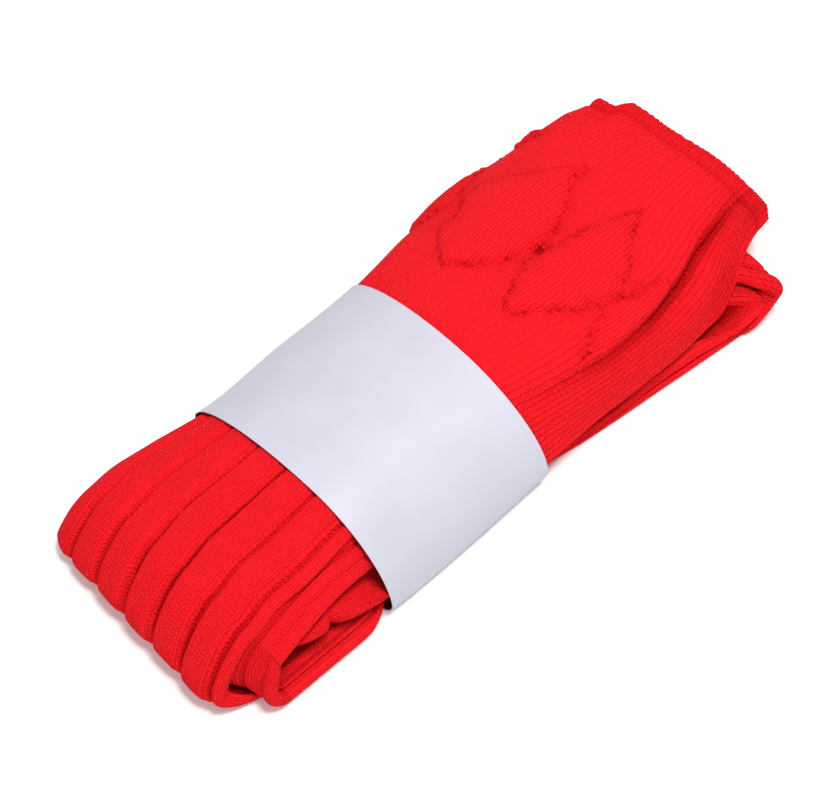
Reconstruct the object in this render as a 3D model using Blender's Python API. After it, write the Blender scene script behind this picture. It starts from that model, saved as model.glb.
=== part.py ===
"""A pair of knitted kilt socks, laid one on the other, folded in three and held by a paper band.

All sizes are in millimetres, and the meshes are made in metres. +X runs from the ribbed near
fold to the open cuff, +Y across the bundle and +Z up from the surface that it lies on.
"""
import math

import bpy
import numpy as np

MM = 0.001

# Driving dimensions of the cloth
PLY = 3.2                 # thickness of one knitted wall
GAP = 0.4                 # clear space between two walls that lie on each other
LEG_WIDTH = 112.0         # across the flat leg
RIB_PITCH = 18.0          # one wide rib and its sunk line
RIB_SUNK = 1.7            # depth of the sunk line between two ribs
RIB_SUNK_WIDTH = 3.4
RIB_CROWN = 0.3           # the middle of a rib stands this far above its sides
LEFT_EDGE_ROUND = ((0.0, 1.0), (1.5, 0.0))               # how far in from the edge, and how
RIGHT_EDGE_ROUND = ((0.0, 2.0), (1.0, 0.7), (3.0, 0.0))  # deep the wall is rounded there
EDGE_STRIP = 7.0          # narrow strip between the last sunk line and the top sock's -Y edge
LEAF_RISE = 2.3           # height of the cuff's puffed leaves
INNER_PLY = 2.6

# Driving dimensions of the fold
BAND_NEAR_X = -68.0
BAND_FAR_X = 18.0
SEAM_X = -20.0            # where leg and cuff meet, under the band
NEAR_TURN_X = -122.0      # the top layer starts to turn down here
NEAR_TURN_LEAN = 0.2      # how far the fold's bulge leans down toward the floor
FAR_TURN_X = 126.0        # the bottom layer starts to turn up here
FAR_TURN_REACH = 18.5
FAR_TURN_HEIGHT = 26.5
FAR_TURN_LEAN = 0.25      # how far the bulge of a far turn leans up
FAR_TURN_RIGHT_Y = -35.0
FAR_TURN_DRAW = 3.0       # how far in from the +Y side the layer that turned up lies
INNER_TURN_X = 121.0      # the second sock's smaller turn, inside the first one's
INNER_TURN_REACH = 14.5
INNER_TURN_HEIGHT = 15.2
INNER_TURN_RIGHT_Y = -45.5
FAR_FLARE = 4.0           # how far the -Y corner of the far turn spreads sideways
INNER_FLARE = 3.0
RETURN_END_X = 105.0      # the layers that turned up end here, inside the bundle
HEM_X = 160.0
HEM_LINE_X = 153.0        # the sunk line beside the knobbly hem
HEM_LINE_SUNK = 1.2
HEM_EDGE_SUNK = 0.8
HEM_KNOB = 0.9
HEM_CORNER = 6.5          # how far the hem's +Y corner is set back
HEM_CORNER_X = 130.0      # the cuff starts to draw back to that corner here
HEM_CORNER_Y = 33.0
HEM_CORNER_RUN = 6.0
CUFF_EDGE_SUNK = 1.0
CREASE_WIDTH = 3.2        # the long crease along the cuff's -Y side
CREASE_STEP = 0.35        # share of its depth that the side panel beyond it keeps
CREASE_INSIDE = 0.7       # share of its depth that shows on the wall's inner side
CUFF_LAYERS_DEPTH = 5.6   # from the cuff's outer side down to the plies under it
CUFF_LAYERS_END_X = 151.0
CUFF_LAYERS_LEFT_Y = 44.0
CUFF_LAYERS_RIGHT_Y = -35.0
BAND_CARD = 0.5           # thickness of the paper band
BAND_EASE = 0.8           # clear space between the band and the cloth
BAND_CORNER = 9.0
BAND_LIFT = 0.9           # the cloth under the band lies this far above the floor
BAND_LIFT_FROM = 6.0      # it starts to rise this far before the band
BAND_LIFT_RUN = 5.0
UNDER_EDGE_RISE = 3.0     # how far the side edges of the underside lift
UNDER_EDGE_WIDTH = 8.0

# The outer form of the upper side: a row for each cross-section, as two elliptic arcs that
# meet at the crown. A sweep is the angle of the ellipse that an arc covers.
FORM_COLUMNS = ("x", "crown_y", "crown_z", "left_y", "left_z", "left_sweep",
                "right_y", "right_z", "right_sweep")
FORM_ROWS = (
    (-122.0, 6.0, 37.5, 62.5, 19.0, 70.0, -57.0, 27.0, 78.0),
    (-108.0, 2.0, 40.0, 63.0, 19.0, 74.0, -57.0, 26.0, 82.0),
    (-90.0, -6.0, 43.5, 61.0, 18.0, 78.0, -57.0, 24.0, 84.0),
    (-79.0, -9.5, 45.0, 59.0, 17.5, 80.0, -56.5, 18.0, 84.0),
    (-68.0, -12.0, 46.0, 57.0, 17.0, 82.0, -56.0, 11.0, 83.0),
    (-25.0, -9.0, 46.0, 57.0, 17.0, 82.0, -56.5, 10.0, 84.0),
    (18.0, -6.0, 45.5, 57.0, 17.0, 82.0, -56.5, 14.0, 84.0),
    (50.0, -5.0, 48.0, 60.5, 18.0, 81.0, -57.5, 18.0, 82.0),
    (80.0, -5.0, 49.0, 62.0, 19.0, 80.0, -58.0, 17.5, 81.0),
    (110.0, -4.0, 47.0, 59.5, 21.0, 78.0, -57.0, 13.0, 80.0),
    (127.0, -3.0, 45.0, 56.5, 25.0, 74.0, -55.0, 13.0, 78.0),
    (134.0, -2.0, 44.0, 55.0, 27.0, 71.0, -52.5, 22.0, 73.0),
    (140.0, -1.0, 43.0, 53.5, 29.0, 68.0, -49.5, 28.0, 65.0),
    (148.0, 0.0, 41.5, 50.0, 31.0, 64.0, -46.5, 31.5, 57.0),
    (160.0, 0.0, 40.0, 47.0, 33.0, 60.0, -44.5, 33.0, 52.0),
)

# The -Y edges of both legs on the upper side
TOP_EDGE_COLUMNS = ("x", "y")
TOP_EDGE_ROWS = ((-122.0, -38.5), (-108.0, -36.5), (-95.0, -37.3), (-68.0, -35.5),
                 (18.0, -35.0))
SECOND_EDGE_ROWS = ((-122.0, -53.0), (-108.0, -51.0), (-91.0, -49.5), (-68.0, -48.5),
                    (18.0, -48.5))

# How far the folds of both legs bulge at the near end
NEAR_TURN_COLUMNS = ("y", "reach", "second_reach")
NEAR_TURN_ROWS = (
    (-62.0, 10.0, 9.5),
    (-54.0, 12.0, 10.0),
    (-48.0, 17.0, 11.5),
    (-44.0, 21.0, 13.0),
    (-38.0, 24.5, 17.0),
    (-30.0, 25.5, 21.5),
    (-18.0, 25.0, 24.5),
    (0.0, 24.5, 24.5),
    (20.0, 23.5, 23.5),
    (44.0, 21.0, 20.8),
    (63.0, 17.0, 15.5),
)

# Both edges of the bottom layers
BOTTOM_COLUMNS = ("x", "left_y", "right_y", "under_right_y")
BOTTOM_ROWS = (
    (-122.0, 59.0, -48.0, -58.5),
    (-95.0, 56.0, -47.0, -59.0),
    (-83.0, 54.5, -47.0, -59.0),
    (-74.0, 53.0, -47.0, -57.0),
    (-67.0, 52.5, -47.5, -55.0),
    (18.0, 52.5, -50.0, -54.5),
    (44.0, 54.5, -55.0, -57.0),
    (60.0, 56.0, -57.0, -59.0),
    (86.0, 55.0, -60.0, -61.5),
    (102.0, 54.0, -62.0, -63.5),
    (126.0, 52.0, -64.5, -66.5),
)

# The cuff's leaves: y of the middle line at the three stations, and half of the width
LEAF_STATIONS_X = (44.0, 79.0, 118.0)
LEAF_COLUMNS = ("near_y", "widest_y", "tip_y", "half_width")
LEAF_ROWS = (
    (66.0, 68.0, 51.0, 15.0),
    (32.0, 27.0, 21.0, 19.5),
    (-6.0, -15.5, -10.5, 15.5),
    (-42.0, -49.0, -38.0, 14.0),
)

# The long crease along the cuff: its line, and how deep it is there
CREASE_COLUMNS = ("x", "y", "depth")
CREASE_ROWS = (
    (20.0, -38.0, 0.2),
    (45.0, -43.5, 1.2),
    (68.0, -47.0, 2.0),
    (80.0, -47.0, 2.4),
    (93.0, -46.0, 2.6),
    (103.0, -44.0, 2.6),
    (112.5, -42.0, 2.6),
    (127.0, -37.0, 2.6),
    (139.5, -34.0, 2.4),
    (149.0, -31.5, 1.6),
    (155.0, -31.0, 0.2),
)

# The tucked-in foot of the second sock, which shows in the turn: a row for each section
FOOT_COLUMNS = ("x", "out_y", "low_z", "high_z")
FOOT_ROWS = (
    (-114.0, -46.0, 21.0, 23.0),
    (-107.0, -49.0, 18.0, 25.0),
    (-98.0, -50.5, 13.5, 27.0),
    (-92.0, -49.5, 11.5, 27.0),
    (-86.0, -52.0, 11.0, 27.0),
    (-77.0, -53.0, 10.5, 25.0),
    (-67.0, -52.5, 10.5, 21.0),
    (-56.0, -48.0, 11.5, 18.0),
)
FOOT_IN_Y = -30.9
FOOT_FREE_Y = -43.0       # nothing lies on the foot beyond this
FOOT_POINTS = 14

# The hidden layers: from where to where their upper side runs, how deep they lie under the
# form, and how far their ends are squashed
CORE_COLUMNS = ("x", "left_y", "right_y", "depth", "squash")
CORE_ROWS = (
    (-130.5, 36.0, -20.0, 8.8, 0.4),
    (-127.5, 43.5, -24.0, 8.4, 0.75),
    (-121.0, 54.0, -28.0, 7.8, 1.0),
    (-105.0, 59.0, -29.5, 7.7, 1.0),
    (-88.0, 59.0, -29.5, 7.7, 1.0),
    (-68.0, 57.0, -29.5, 7.7, 1.0),
    (-50.0, 57.0, -29.5, 7.7, 1.0),
    (-44.0, 57.0, -48.0, 7.7, 1.0),
    (-19.6, 57.0, -48.0, 7.7, 1.0),
    (-14.0, 57.0, -52.0, 4.8, 1.0),
    (19.0, 57.0, -53.0, 4.8, 1.0),
    (26.0, 57.5, -53.0, 4.8, 1.0),
    (50.0, 59.0, -54.0, 5.4, 1.0),
    (80.0, 59.5, -54.5, 6.0, 1.0),
    (104.4, 57.0, -53.5, 6.0, 1.0),
)
CORE_TOP_POINTS = 18
CORE_CLEARANCE = 0.5
CORE_CORNER_RISE = 4.0
CORE_CHAMFER = 10.0
LAYERS = 3
LAYER_BULGE = 1.6
LAYER_ROUND = ((0.0, 0.0), (0.3, 1.0), (0.7, 1.0))  # along one layer's edge, and out

# Where the walls have their cross-sections
UPPER_STATIONS = (SEAM_X, -44.0, -62.0, -74.0, -88.0, -101.0, -112.0, NEAR_TURN_X)
LOWER_STATIONS = (NEAR_TURN_X, -98.0, -76.0, -69.0, -20.0, 19.0, 26.0, 62.0, 98.0, FAR_TURN_X)
CUFF_STATIONS = (SEAM_X + GAP, 0.0, 16.0, 27.0, 37.0, 44.0, 49.0, 55.0, 61.0, 67.0, 73.0,
                 79.0, 85.0, 91.0, 97.0, 103.0, 109.0, 114.0, 118.0, 125.0, 132.0, 138.0,
                 144.0, 149.0, HEM_LINE_X - 2.0, HEM_LINE_X, HEM_LINE_X + 2.0, HEM_X)
BAND_STATIONS = (BAND_NEAR_X, -62.0, -44.0, -20.0, 0.0, 15.0, BAND_FAR_X)
CUFF_TOP_COLUMNS = 27
CUFF_SIDE_COLUMNS = 7
CUFF_LAYERS_STATIONS = 7
CUFF_LAYERS_SECTIONS = 11
BAND_COLUMNS = 26
BAND_CORNER_STEPS = 5
NEAR_TURN_STEPS = 9
FAR_TURN_STEPS = 9
ARC_POINTS = 40

# Columns of the second sock's leg: how far across it each is, and how deep it is sunk there
SECOND_LEG_COLUMNS = (
    (0.0, 1.1), (0.02, 0.1), (0.07, 0.0), (0.12, 0.0), (0.18, 0.0), (0.26, 0.0), (0.36, 0.0),
    (0.48, 0.0), (0.60, 0.0), (0.68, 0.0), (0.75, 0.0), (0.81, 0.0), (0.865, 0.0),
    (0.885, 0.6), (0.90, -0.9), (0.93, -1.4), (0.945, -0.3), (0.96, -1.5), (0.98, -1.3),
    (0.992, -0.6), (1.0, 0.6),
)
INNER_PLY_FRACTIONS = (0.86, 0.885, 0.91, 0.94, 0.965)

# Plain colours of the solids: name, base colour, roughness
RED_KNIT = ("red_knit", (0.60, 0.005, 0.012, 1.0), 0.95)
TUCKED_KNIT = ("tucked_red_knit", (0.36, 0.004, 0.008, 1.0), 0.95)
WHITE_PAPER = ("white_paper", (0.72, 0.71, 0.80, 1.0), 0.55)


def smooth_between(stations, values, x):
    """A smooth curve through the table's values, read at x."""
    stations = np.asarray(stations, float)
    values = np.asarray(values, float)
    slopes = np.gradient(values, stations)
    i = int(np.clip(np.searchsorted(stations, x) - 1, 0, len(stations) - 2))
    step = stations[i + 1] - stations[i]
    t = float(np.clip((x - stations[i]) / step, 0.0, 1.0))
    rise = values[i + 1] - values[i]
    a = slopes[i] * step - rise
    b = rise - slopes[i + 1] * step
    return values[i] + rise * t + t * (1.0 - t) * (a * (1.0 - t) + b * t)


def table_row(columns, rows, place):
    """The named values of a table at a place in its first column."""
    stations = [row[0] for row in rows]
    return {name: smooth_between(stations, [row[k] for row in rows], place)
            for k, name in enumerate(columns) if k > 0}


def upper_line(x):
    """The outer form across the upper side at x: (y, z) from the +Y edge to the -Y edge."""
    row = table_row(FORM_COLUMNS, FORM_ROWS, x)
    arcs = []
    for side, sign in (("left", 1.0), ("right", -1.0)):
        sweep = math.radians(row[side + "_sweep"])
        reach = abs(row[side + "_y"] - row["crown_y"])
        fall = row["crown_z"] - row[side + "_z"]
        angles = np.linspace(0.0, sweep, ARC_POINTS)
        y = row["crown_y"] + sign * reach * np.sin(angles) / math.sin(sweep)
        z = row["crown_z"] - fall * (1.0 - np.cos(angles)) / (1.0 - math.cos(sweep))
        arcs.append(np.stack([y, z], axis=1))
    return np.concatenate([arcs[0][::-1], arcs[1][1:]])


def upper_section(x, fractions, from_y=None, to_y=None):
    """Points of the outer form at x, at fractions of the way along it from one y to the
    other. Left out, they are the +Y edge and the -Y edge."""
    line = upper_line(x)
    steps = np.linalg.norm(np.diff(line, axis=0), axis=1)
    length = np.concatenate([[0.0], np.cumsum(steps)])
    start = 0.0 if from_y is None else float(np.interp(-from_y, -line[:, 0], length))
    end = length[-1] if to_y is None else float(np.interp(-to_y, -line[:, 0], length))
    wanted = start + (end - start) * np.asarray(fractions, float)
    return np.stack([np.interp(wanted, length, line[:, k]) for k in range(2)], axis=1)


def upper_height(x, y):
    """Height of the outer form above the floor."""
    line = upper_line(x)
    return float(np.interp(-y, -line[:, 0], line[:, 1]))


def inset(section, depth):
    """A section of the upper side moved inward by the depth."""
    slope = np.gradient(section, axis=0)
    inward = np.stack([slope[:, 1], -slope[:, 0]], axis=1)
    inward /= np.linalg.norm(inward, axis=1, keepdims=True)
    if inward[len(inward) // 2, 1] > 0.0:
        inward = -inward
    return section + inward * depth


def inner_height(x, y, depth):
    """Height of the form moved inward by the depth."""
    line = inset(upper_line(x), depth)
    return float(np.interp(-y, -line[:, 0], line[:, 1]))


def floor_lift(x):
    """The cloth rises a little where the band passes under it."""
    inside = min(x - (BAND_NEAR_X - BAND_LIFT_FROM), (BAND_FAR_X + BAND_LIFT_FROM) - x)
    return BAND_LIFT * float(np.clip(inside / BAND_LIFT_RUN, 0.0, 1.0))


def lower_height(x, y):
    """Height of the underside above the floor: its side edges lift a little."""
    row = table_row(BOTTOM_COLUMNS, BOTTOM_ROWS, x)
    inside = min(row["left_y"] - y, y - row["under_right_y"])
    edge = float(np.clip(1.0 - inside / UNDER_EDGE_WIDTH, 0.0, 1.0))
    return floor_lift(x) + UNDER_EDGE_RISE * edge ** 2


def lower_section(x, fractions, right_name):
    """(y, z) across the flat underside at x."""
    row = table_row(BOTTOM_COLUMNS, BOTTOM_ROWS, x)
    y = row["left_y"] + (row[right_name] - row["left_y"]) * np.asarray(fractions, float)
    return np.array([(place, lower_height(x, place)) for place in y])


def on_plane(x, section):
    """A cross-section as 3-D points at x."""
    return np.column_stack([np.full(len(section), x), section])


def near_turn(start, end, reach_name):
    """Rows of points round the near fold. All of them lie on one form, wherever the two rows
    have their points, so that one leg can lie in the other."""
    rows = []
    for step in range(1, NEAR_TURN_STEPS):
        angle = math.pi * step / NEAR_TURN_STEPS
        row = []
        for y in start[:, 1] + (end[:, 1] - start[:, 1]) * (1.0 - math.cos(angle)) / 2.0:
            reach = table_row(NEAR_TURN_COLUMNS, NEAR_TURN_ROWS, y)[reach_name]
            high = upper_height(NEAR_TURN_X, y)
            low = lower_height(NEAR_TURN_X, y)
            out = math.sin(angle) - NEAR_TURN_LEAN * math.sin(2.0 * angle)
            row.append((NEAR_TURN_X - reach * out, y,
                        (high + low) / 2 + (high - low) / 2 * math.cos(angle)))
        rows.append(row)
    return rows


def turned(start, end, reach, steps, flare):
    """Rows of points round a fold, from one row to the other, bulging along X by the reach
    and sideways, at the -Y end, by the flare."""
    rows = []
    across = np.linspace(0.0, 1.0, len(start))
    for step in range(1, steps):
        angle = math.pi * step / steps
        share = (1.0 - math.cos(angle)) / 2.0
        row = start + (end - start) * share
        row[:, 0] += reach * (math.sin(angle) - FAR_TURN_LEAN * math.sin(2.0 * angle))
        row[:, 1] = start[:, 1] + (end[:, 1] - start[:, 1]) * share ** 4
        row[:, 1] -= flare * math.sin(angle) * across ** 3
        rows.append(row)
    return rows


def leg_form(fractions, edge_rows, right_name, reach_name):
    """Rows of points along a leg on the outer form: from the seam over the top, round the
    near fold and back along the floor to where it turns up again."""
    f = np.asarray(fractions, float)
    rows = []
    for x in UPPER_STATIONS:
        edge = table_row(TOP_EDGE_COLUMNS, edge_rows, x)["y"]
        rows.append(on_plane(x, upper_section(x, f, to_y=edge)))
    floor_row = on_plane(NEAR_TURN_X, lower_section(NEAR_TURN_X, f, right_name))
    rows.extend(near_turn(rows[-1], floor_row, reach_name))
    rows.extend(on_plane(x, lower_section(x, f, right_name)) for x in LOWER_STATIONS)
    return np.array(rows)


def with_far_turn(form, from_x, reach, height, right_y, flare):
    """The rows of a leg with its second turn added, and the run that goes back inside."""
    end = form[-1]
    end[:, 0] = from_x
    shares = (end[:, 1] - end[0, 1]) / (end[-1, 1] - end[0, 1])
    left_y = end[0, 1] - FAR_TURN_DRAW
    top = np.column_stack([np.full(len(end), from_x), left_y + (right_y - left_y) * shares,
                           np.full(len(end), height)])
    back = top.copy()
    back[:, 0] = RETURN_END_X
    rows = turned(end, top, reach, FAR_TURN_STEPS, flare)
    return np.concatenate([form, np.array(rows + [top, back])])


def grid_normals(grid):
    """Unit normals of a grid of points, pointing up on its first row."""
    normal = np.cross(np.gradient(grid, axis=0), np.gradient(grid, axis=1))
    normal /= np.linalg.norm(normal, axis=2, keepdims=True)
    if normal[0, normal.shape[1] // 2, 2] < 0.0:
        normal = -normal
    return normal


def signed_volume(points, faces):
    """Six times the volume inside the faces."""
    total = 0.0
    for face in faces:
        first = points[face[0]]
        for k in range(1, len(face) - 1):
            total += float(np.dot(first, np.cross(points[face[k]], points[face[k + 1]])))
    return total


def make_object(name, points, faces, material, collection):
    """A mesh object from points in millimetres, its faces made to point out."""
    if signed_volume(points, faces) < 0.0:
        faces = [face[::-1] for face in faces]
    mesh = bpy.data.meshes.new(name)
    mesh.from_pydata([tuple(p * MM) for p in points], [], faces)
    mesh.update()
    mesh.materials.append(material)
    mesh.shade_smooth()
    mesh.set_sharp_from_angle(angle=math.radians(50.0))
    obj = bpy.data.objects.new(name, mesh)
    collection.objects.link(obj)
    return obj


def wall(name, outer, inner, material, collection, closed=False):
    """A wall between an outer and an inner grid of points. Closed, its last column meets its
    first one."""
    rows, columns = outer.shape[:2]
    points = np.concatenate([outer.reshape(-1, 3), inner.reshape(-1, 3)])

    def at(i, j, side):
        return side * rows * columns + i * columns + j % columns

    faces = []
    last_column = columns if closed else columns - 1
    for i in range(rows - 1):
        for j in range(last_column):
            faces.append((at(i, j, 0), at(i, j + 1, 0), at(i + 1, j + 1, 0), at(i + 1, j, 0)))
            faces.append((at(i, j, 1), at(i + 1, j, 1), at(i + 1, j + 1, 1), at(i, j + 1, 1)))
        if not closed:
            j = columns - 1
            faces.append((at(i, 0, 0), at(i + 1, 0, 0), at(i + 1, 0, 1), at(i, 0, 1)))
            faces.append((at(i, j, 0), at(i, j, 1), at(i + 1, j, 1), at(i + 1, j, 0)))
    for j in range(last_column):
        i = rows - 1
        faces.append((at(0, j, 0), at(0, j, 1), at(0, j + 1, 1), at(0, j + 1, 0)))
        faces.append((at(i, j, 0), at(i, j + 1, 0), at(i, j + 1, 1), at(i, j, 1)))
    return make_object(name, points, faces, material, collection)


def stack_of_rings(name, rings, material, collection):
    """A solid through closed rings of points, each end closed by one face."""
    rings = np.asarray(rings, float)
    count, size = rings.shape[:2]
    faces = []
    for i in range(count - 1):
        for j in range(size):
            k = (j + 1) % size
            faces.append((i * size + j, i * size + k, (i + 1) * size + k, (i + 1) * size + j))
    faces.append(tuple(reversed(range(size))))
    faces.append(tuple((count - 1) * size + j for j in range(size)))
    return make_object(name, rings.reshape(-1, 3), faces, material, collection)


def rib_columns():
    """Fractions across the leg, with points on each side and in the middle of a sunk line,
    and how deep the leg is sunk there."""
    half = RIB_SUNK_WIDTH / 2
    places = list(LEFT_EDGE_ROUND)
    places += [(LEG_WIDTH - aside, depth) for aside, depth in RIGHT_EDGE_ROUND]
    middle = LEG_WIDTH - EDGE_STRIP
    while middle > RIB_PITCH / 2:
        places += [(middle - half, 0.0), (middle, RIB_SUNK), (middle + half, 0.0)]
        places.append((middle - RIB_PITCH / 2, -RIB_CROWN))
        middle -= RIB_PITCH
    places.sort()
    return np.array([p[0] / LEG_WIDTH for p in places]), np.array([p[1] for p in places])


def make_top_sock_leg(material, collection):
    """The ribbed leg of the top sock, ribs raised on the upper side and round both turns."""
    fractions, depth = rib_columns()
    form = with_far_turn(leg_form(fractions, TOP_EDGE_ROWS, "right_y", "reach"),
                         FAR_TURN_X, FAR_TURN_REACH, FAR_TURN_HEIGHT, FAR_TURN_RIGHT_Y,
                         FAR_FLARE)
    normal = grid_normals(form)
    on_floor = (normal[:, :, 2] < -0.9) & (form[:, :, 2] <= BAND_LIFT + UNDER_EDGE_RISE)
    sunk = np.where(on_floor, 0.0, depth[None, :])
    outer = form - normal * sunk[:, :, None]
    inner = form - normal * PLY
    return wall("sock_a_leg", outer, inner, material, collection)


def leaf_rise(x, y):
    """How far the puffed leaves of the cuff stand up at a place."""
    along = (x - LEAF_STATIONS_X[0]) / (LEAF_STATIONS_X[-1] - LEAF_STATIONS_X[0])
    if not 0.0 < along < 1.0:
        return 0.0
    rise = 0.0
    for row in LEAF_ROWS:
        leaf = dict(zip(LEAF_COLUMNS, row))
        line = (leaf["near_y"], leaf["widest_y"], leaf["tip_y"])
        middle = smooth_between(LEAF_STATIONS_X, line, x)
        aside = (y - middle) / (leaf["half_width"] * math.sin(math.pi * along) ** 0.8)
        if abs(aside) < 1.0:
            rise = max(rise, LEAF_RISE * (1.0 - aside ** 2) ** 0.6)
    return rise


def crease_depth(x, y):
    """How far the long crease bends the cuff's wall inward."""
    crease = table_row(CREASE_COLUMNS, CREASE_ROWS, x)
    aside = (y - crease["y"]) / CREASE_WIDTH
    if not CREASE_ROWS[0][0] < x < CREASE_ROWS[-1][0]:
        return 0.0
    if aside > 0.0:
        return crease["depth"] * math.exp(-aside ** 2)
    return crease["depth"] * (CREASE_STEP + (1.0 - CREASE_STEP) * math.exp(aside))


def relief_depth(x, y):
    """How far the cuff's outer side is sunk, or raised where this is less than nothing."""
    if x == HEM_LINE_X:
        return HEM_LINE_SUNK
    if x == HEM_X:
        return HEM_EDGE_SUNK
    if y < table_row(CREASE_COLUMNS, CREASE_ROWS, x)["y"] + CREASE_WIDTH:
        return 0.0
    return -leaf_rise(x, y)


def make_cuff(material, collection):
    """The top sock's cuff: puffed leaves, the long crease beside them and the knobbly hem."""
    top_shares = np.linspace(0.0, 1.0, CUFF_TOP_COLUMNS)
    side_shares = np.linspace(0.0, 1.0, CUFF_SIDE_COLUMNS + 1)[1:]
    form = []
    for x in CUFF_STATIONS:
        crease_y = table_row(CREASE_COLUMNS, CREASE_ROWS, x)["y"]
        top = upper_section(x, top_shares, to_y=crease_y)
        side = upper_section(x, side_shares, from_y=crease_y)
        form.append(on_plane(x, np.concatenate([top, side])))
    form = np.array(form)
    normal = grid_normals(form)
    bend = np.array([[crease_depth(p[0], p[1]) for p in row] for row in form])
    relief = np.array([[relief_depth(p[0], p[1]) for p in row] for row in form])
    relief[:, [0, -1]] += CUFF_EDGE_SUNK
    outer = form - normal * (bend + relief)[:, :, None]
    inner = form - normal * (bend * CREASE_INSIDE + PLY)[:, :, None]
    knob = HEM_KNOB * np.where(np.arange(outer.shape[1]) % 2, -1.0, 1.0)
    near_hem = np.clip((form[:, :, 0] - HEM_CORNER_X) / (HEM_X - HEM_CORNER_X), 0.0, 1.0)
    at_corner = np.clip((form[:, :, 1] - HEM_CORNER_Y) / HEM_CORNER_RUN, 0.0, 1.0)
    for side in (outer, inner):
        side[-1, :, 0] += knob - HEM_KNOB
        side[:, :, 0] -= HEM_CORNER * near_hem * at_corner ** 2 * (3.0 - 2.0 * at_corner)
    return wall("sock_a_cuff", outer, inner, material, collection)


def make_second_sock_leg(material, collection):
    """The leg of the second sock, nested in the first and set out beyond it on the -Y side,
    with a smaller turn of its own at the far end."""
    columns = np.array(SECOND_LEG_COLUMNS)
    form = leg_form(columns[:, 0], SECOND_EDGE_ROWS, "under_right_y", "second_reach")
    form = form - grid_normals(form) * (PLY + GAP)
    form = with_far_turn(form, INNER_TURN_X, INNER_TURN_REACH, INNER_TURN_HEIGHT,
                         INNER_TURN_RIGHT_Y, INNER_FLARE)
    normal = grid_normals(form)
    raised = np.zeros(len(form))
    raised[:len(UPPER_STATIONS)] = 1.0
    turn = slice(len(UPPER_STATIONS), len(UPPER_STATIONS) + NEAR_TURN_STEPS - 1)
    raised[turn] = np.linspace(1.0, 0.0, NEAR_TURN_STEPS + 1)[1:-1]
    depth = np.repeat(columns[None, :, 1], len(form), axis=0)
    depth = np.where(depth < 0.0, depth * raised[:, None], depth)
    outer = form - normal * depth[:, :, None]
    inner = form - normal * (PLY + np.minimum(depth, 0.0))[:, :, None]
    return wall("sock_b_leg", outer, inner, material, collection)


def make_inner_ply(material, collection):
    """The inner ply of the second sock, which shows in the open end of its fold."""
    form = leg_form(INNER_PLY_FRACTIONS, SECOND_EDGE_ROWS, "under_right_y", "second_reach")
    first = UPPER_STATIONS.index(-62.0)
    last = len(UPPER_STATIONS) + NEAR_TURN_STEPS - 1 + LOWER_STATIONS.index(-69.0)
    normal = grid_normals(form)[first:last + 1]
    outer = form[first:last + 1] - normal * 2 * (PLY + GAP)
    inner = outer - normal * INNER_PLY
    return wall("sock_b_inner_ply", outer, inner, material, collection)


def make_tucked_foot(material, collection):
    """The foot of the second sock, tucked into the fold: a flat pouch with a pinch in it."""
    rings = []
    over = 2 * (PLY + GAP) + INNER_PLY + 2 * GAP
    for row in FOOT_ROWS:
        place = dict(zip(FOOT_COLUMNS, row))
        middle = (place["low_z"] + place["high_z"]) / 2
        half = (place["high_z"] - place["low_z"]) / 2
        depth = FOOT_IN_Y - place["out_y"]
        ring = []
        for k in range(FOOT_POINTS):
            angle = math.pi * k / (FOOT_POINTS - 1)
            y = FOOT_IN_Y - depth * abs(math.sin(angle)) ** 0.7
            free = inner_height(place["x"], max(y, FOOT_FREE_Y), over)
            ring.append((place["x"], y, min(middle + half * math.cos(angle), free)))
        rings.append(ring)
    return stack_of_rings("sock_b_foot", rings, material, collection)


def layered_edge(start, end, out):
    """Points along a stack of rounded layer edges, from one (u, v) to the other. The edges
    stand out along u, by LAYER_BULGE times the sign."""
    start = np.asarray(start, float)
    end = np.asarray(end, float)
    bulge = np.array([LAYER_BULGE * out, 0.0])
    points = []
    for k in range(LAYERS):
        for share, height in LAYER_ROUND:
            points.append(start + (end - start) * (k + share) / LAYERS + bulge * height)
    points.append(end)
    return points


def make_folded_layers(material, collection):
    """The hidden layers as one solid: legs and feet on each other, layered at the sides."""
    rings = []
    shares = np.linspace(0.0, 1.0, CORE_TOP_POINTS)
    low_z = 2 * (PLY + GAP) + CORE_CLEARANCE
    for row in CORE_ROWS:
        place = dict(zip(CORE_COLUMNS, row))
        x = place["x"]
        top = inset(upper_section(max(x, NEAR_TURN_X), shares, place["left_y"],
                                  place["right_y"]), place["depth"])
        low = low_z + floor_lift(x)
        middle = (top[:, 1].max() + low) / 2
        top[:, 1] = middle + (top[:, 1] - middle) * place["squash"]
        low = middle + (low - middle) * place["squash"]
        corner = low + CORE_CORNER_RISE
        left_y = top[0, 0] - LAYER_BULGE
        right = layered_edge(top[-1], (top[-1, 0], corner), -1.0)
        left = layered_edge((left_y, corner), (left_y, top[0, 1] - CORE_CLEARANCE), 1.0)
        under = [(top[-1, 0] + CORE_CHAMFER, low), (top[0, 0] - CORE_CHAMFER, low)]
        ring = list(top[:-1]) + right + under + left
        rings.append([(x, y, z) for y, z in ring])
    return stack_of_rings("folded_layers", rings, material, collection)


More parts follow.
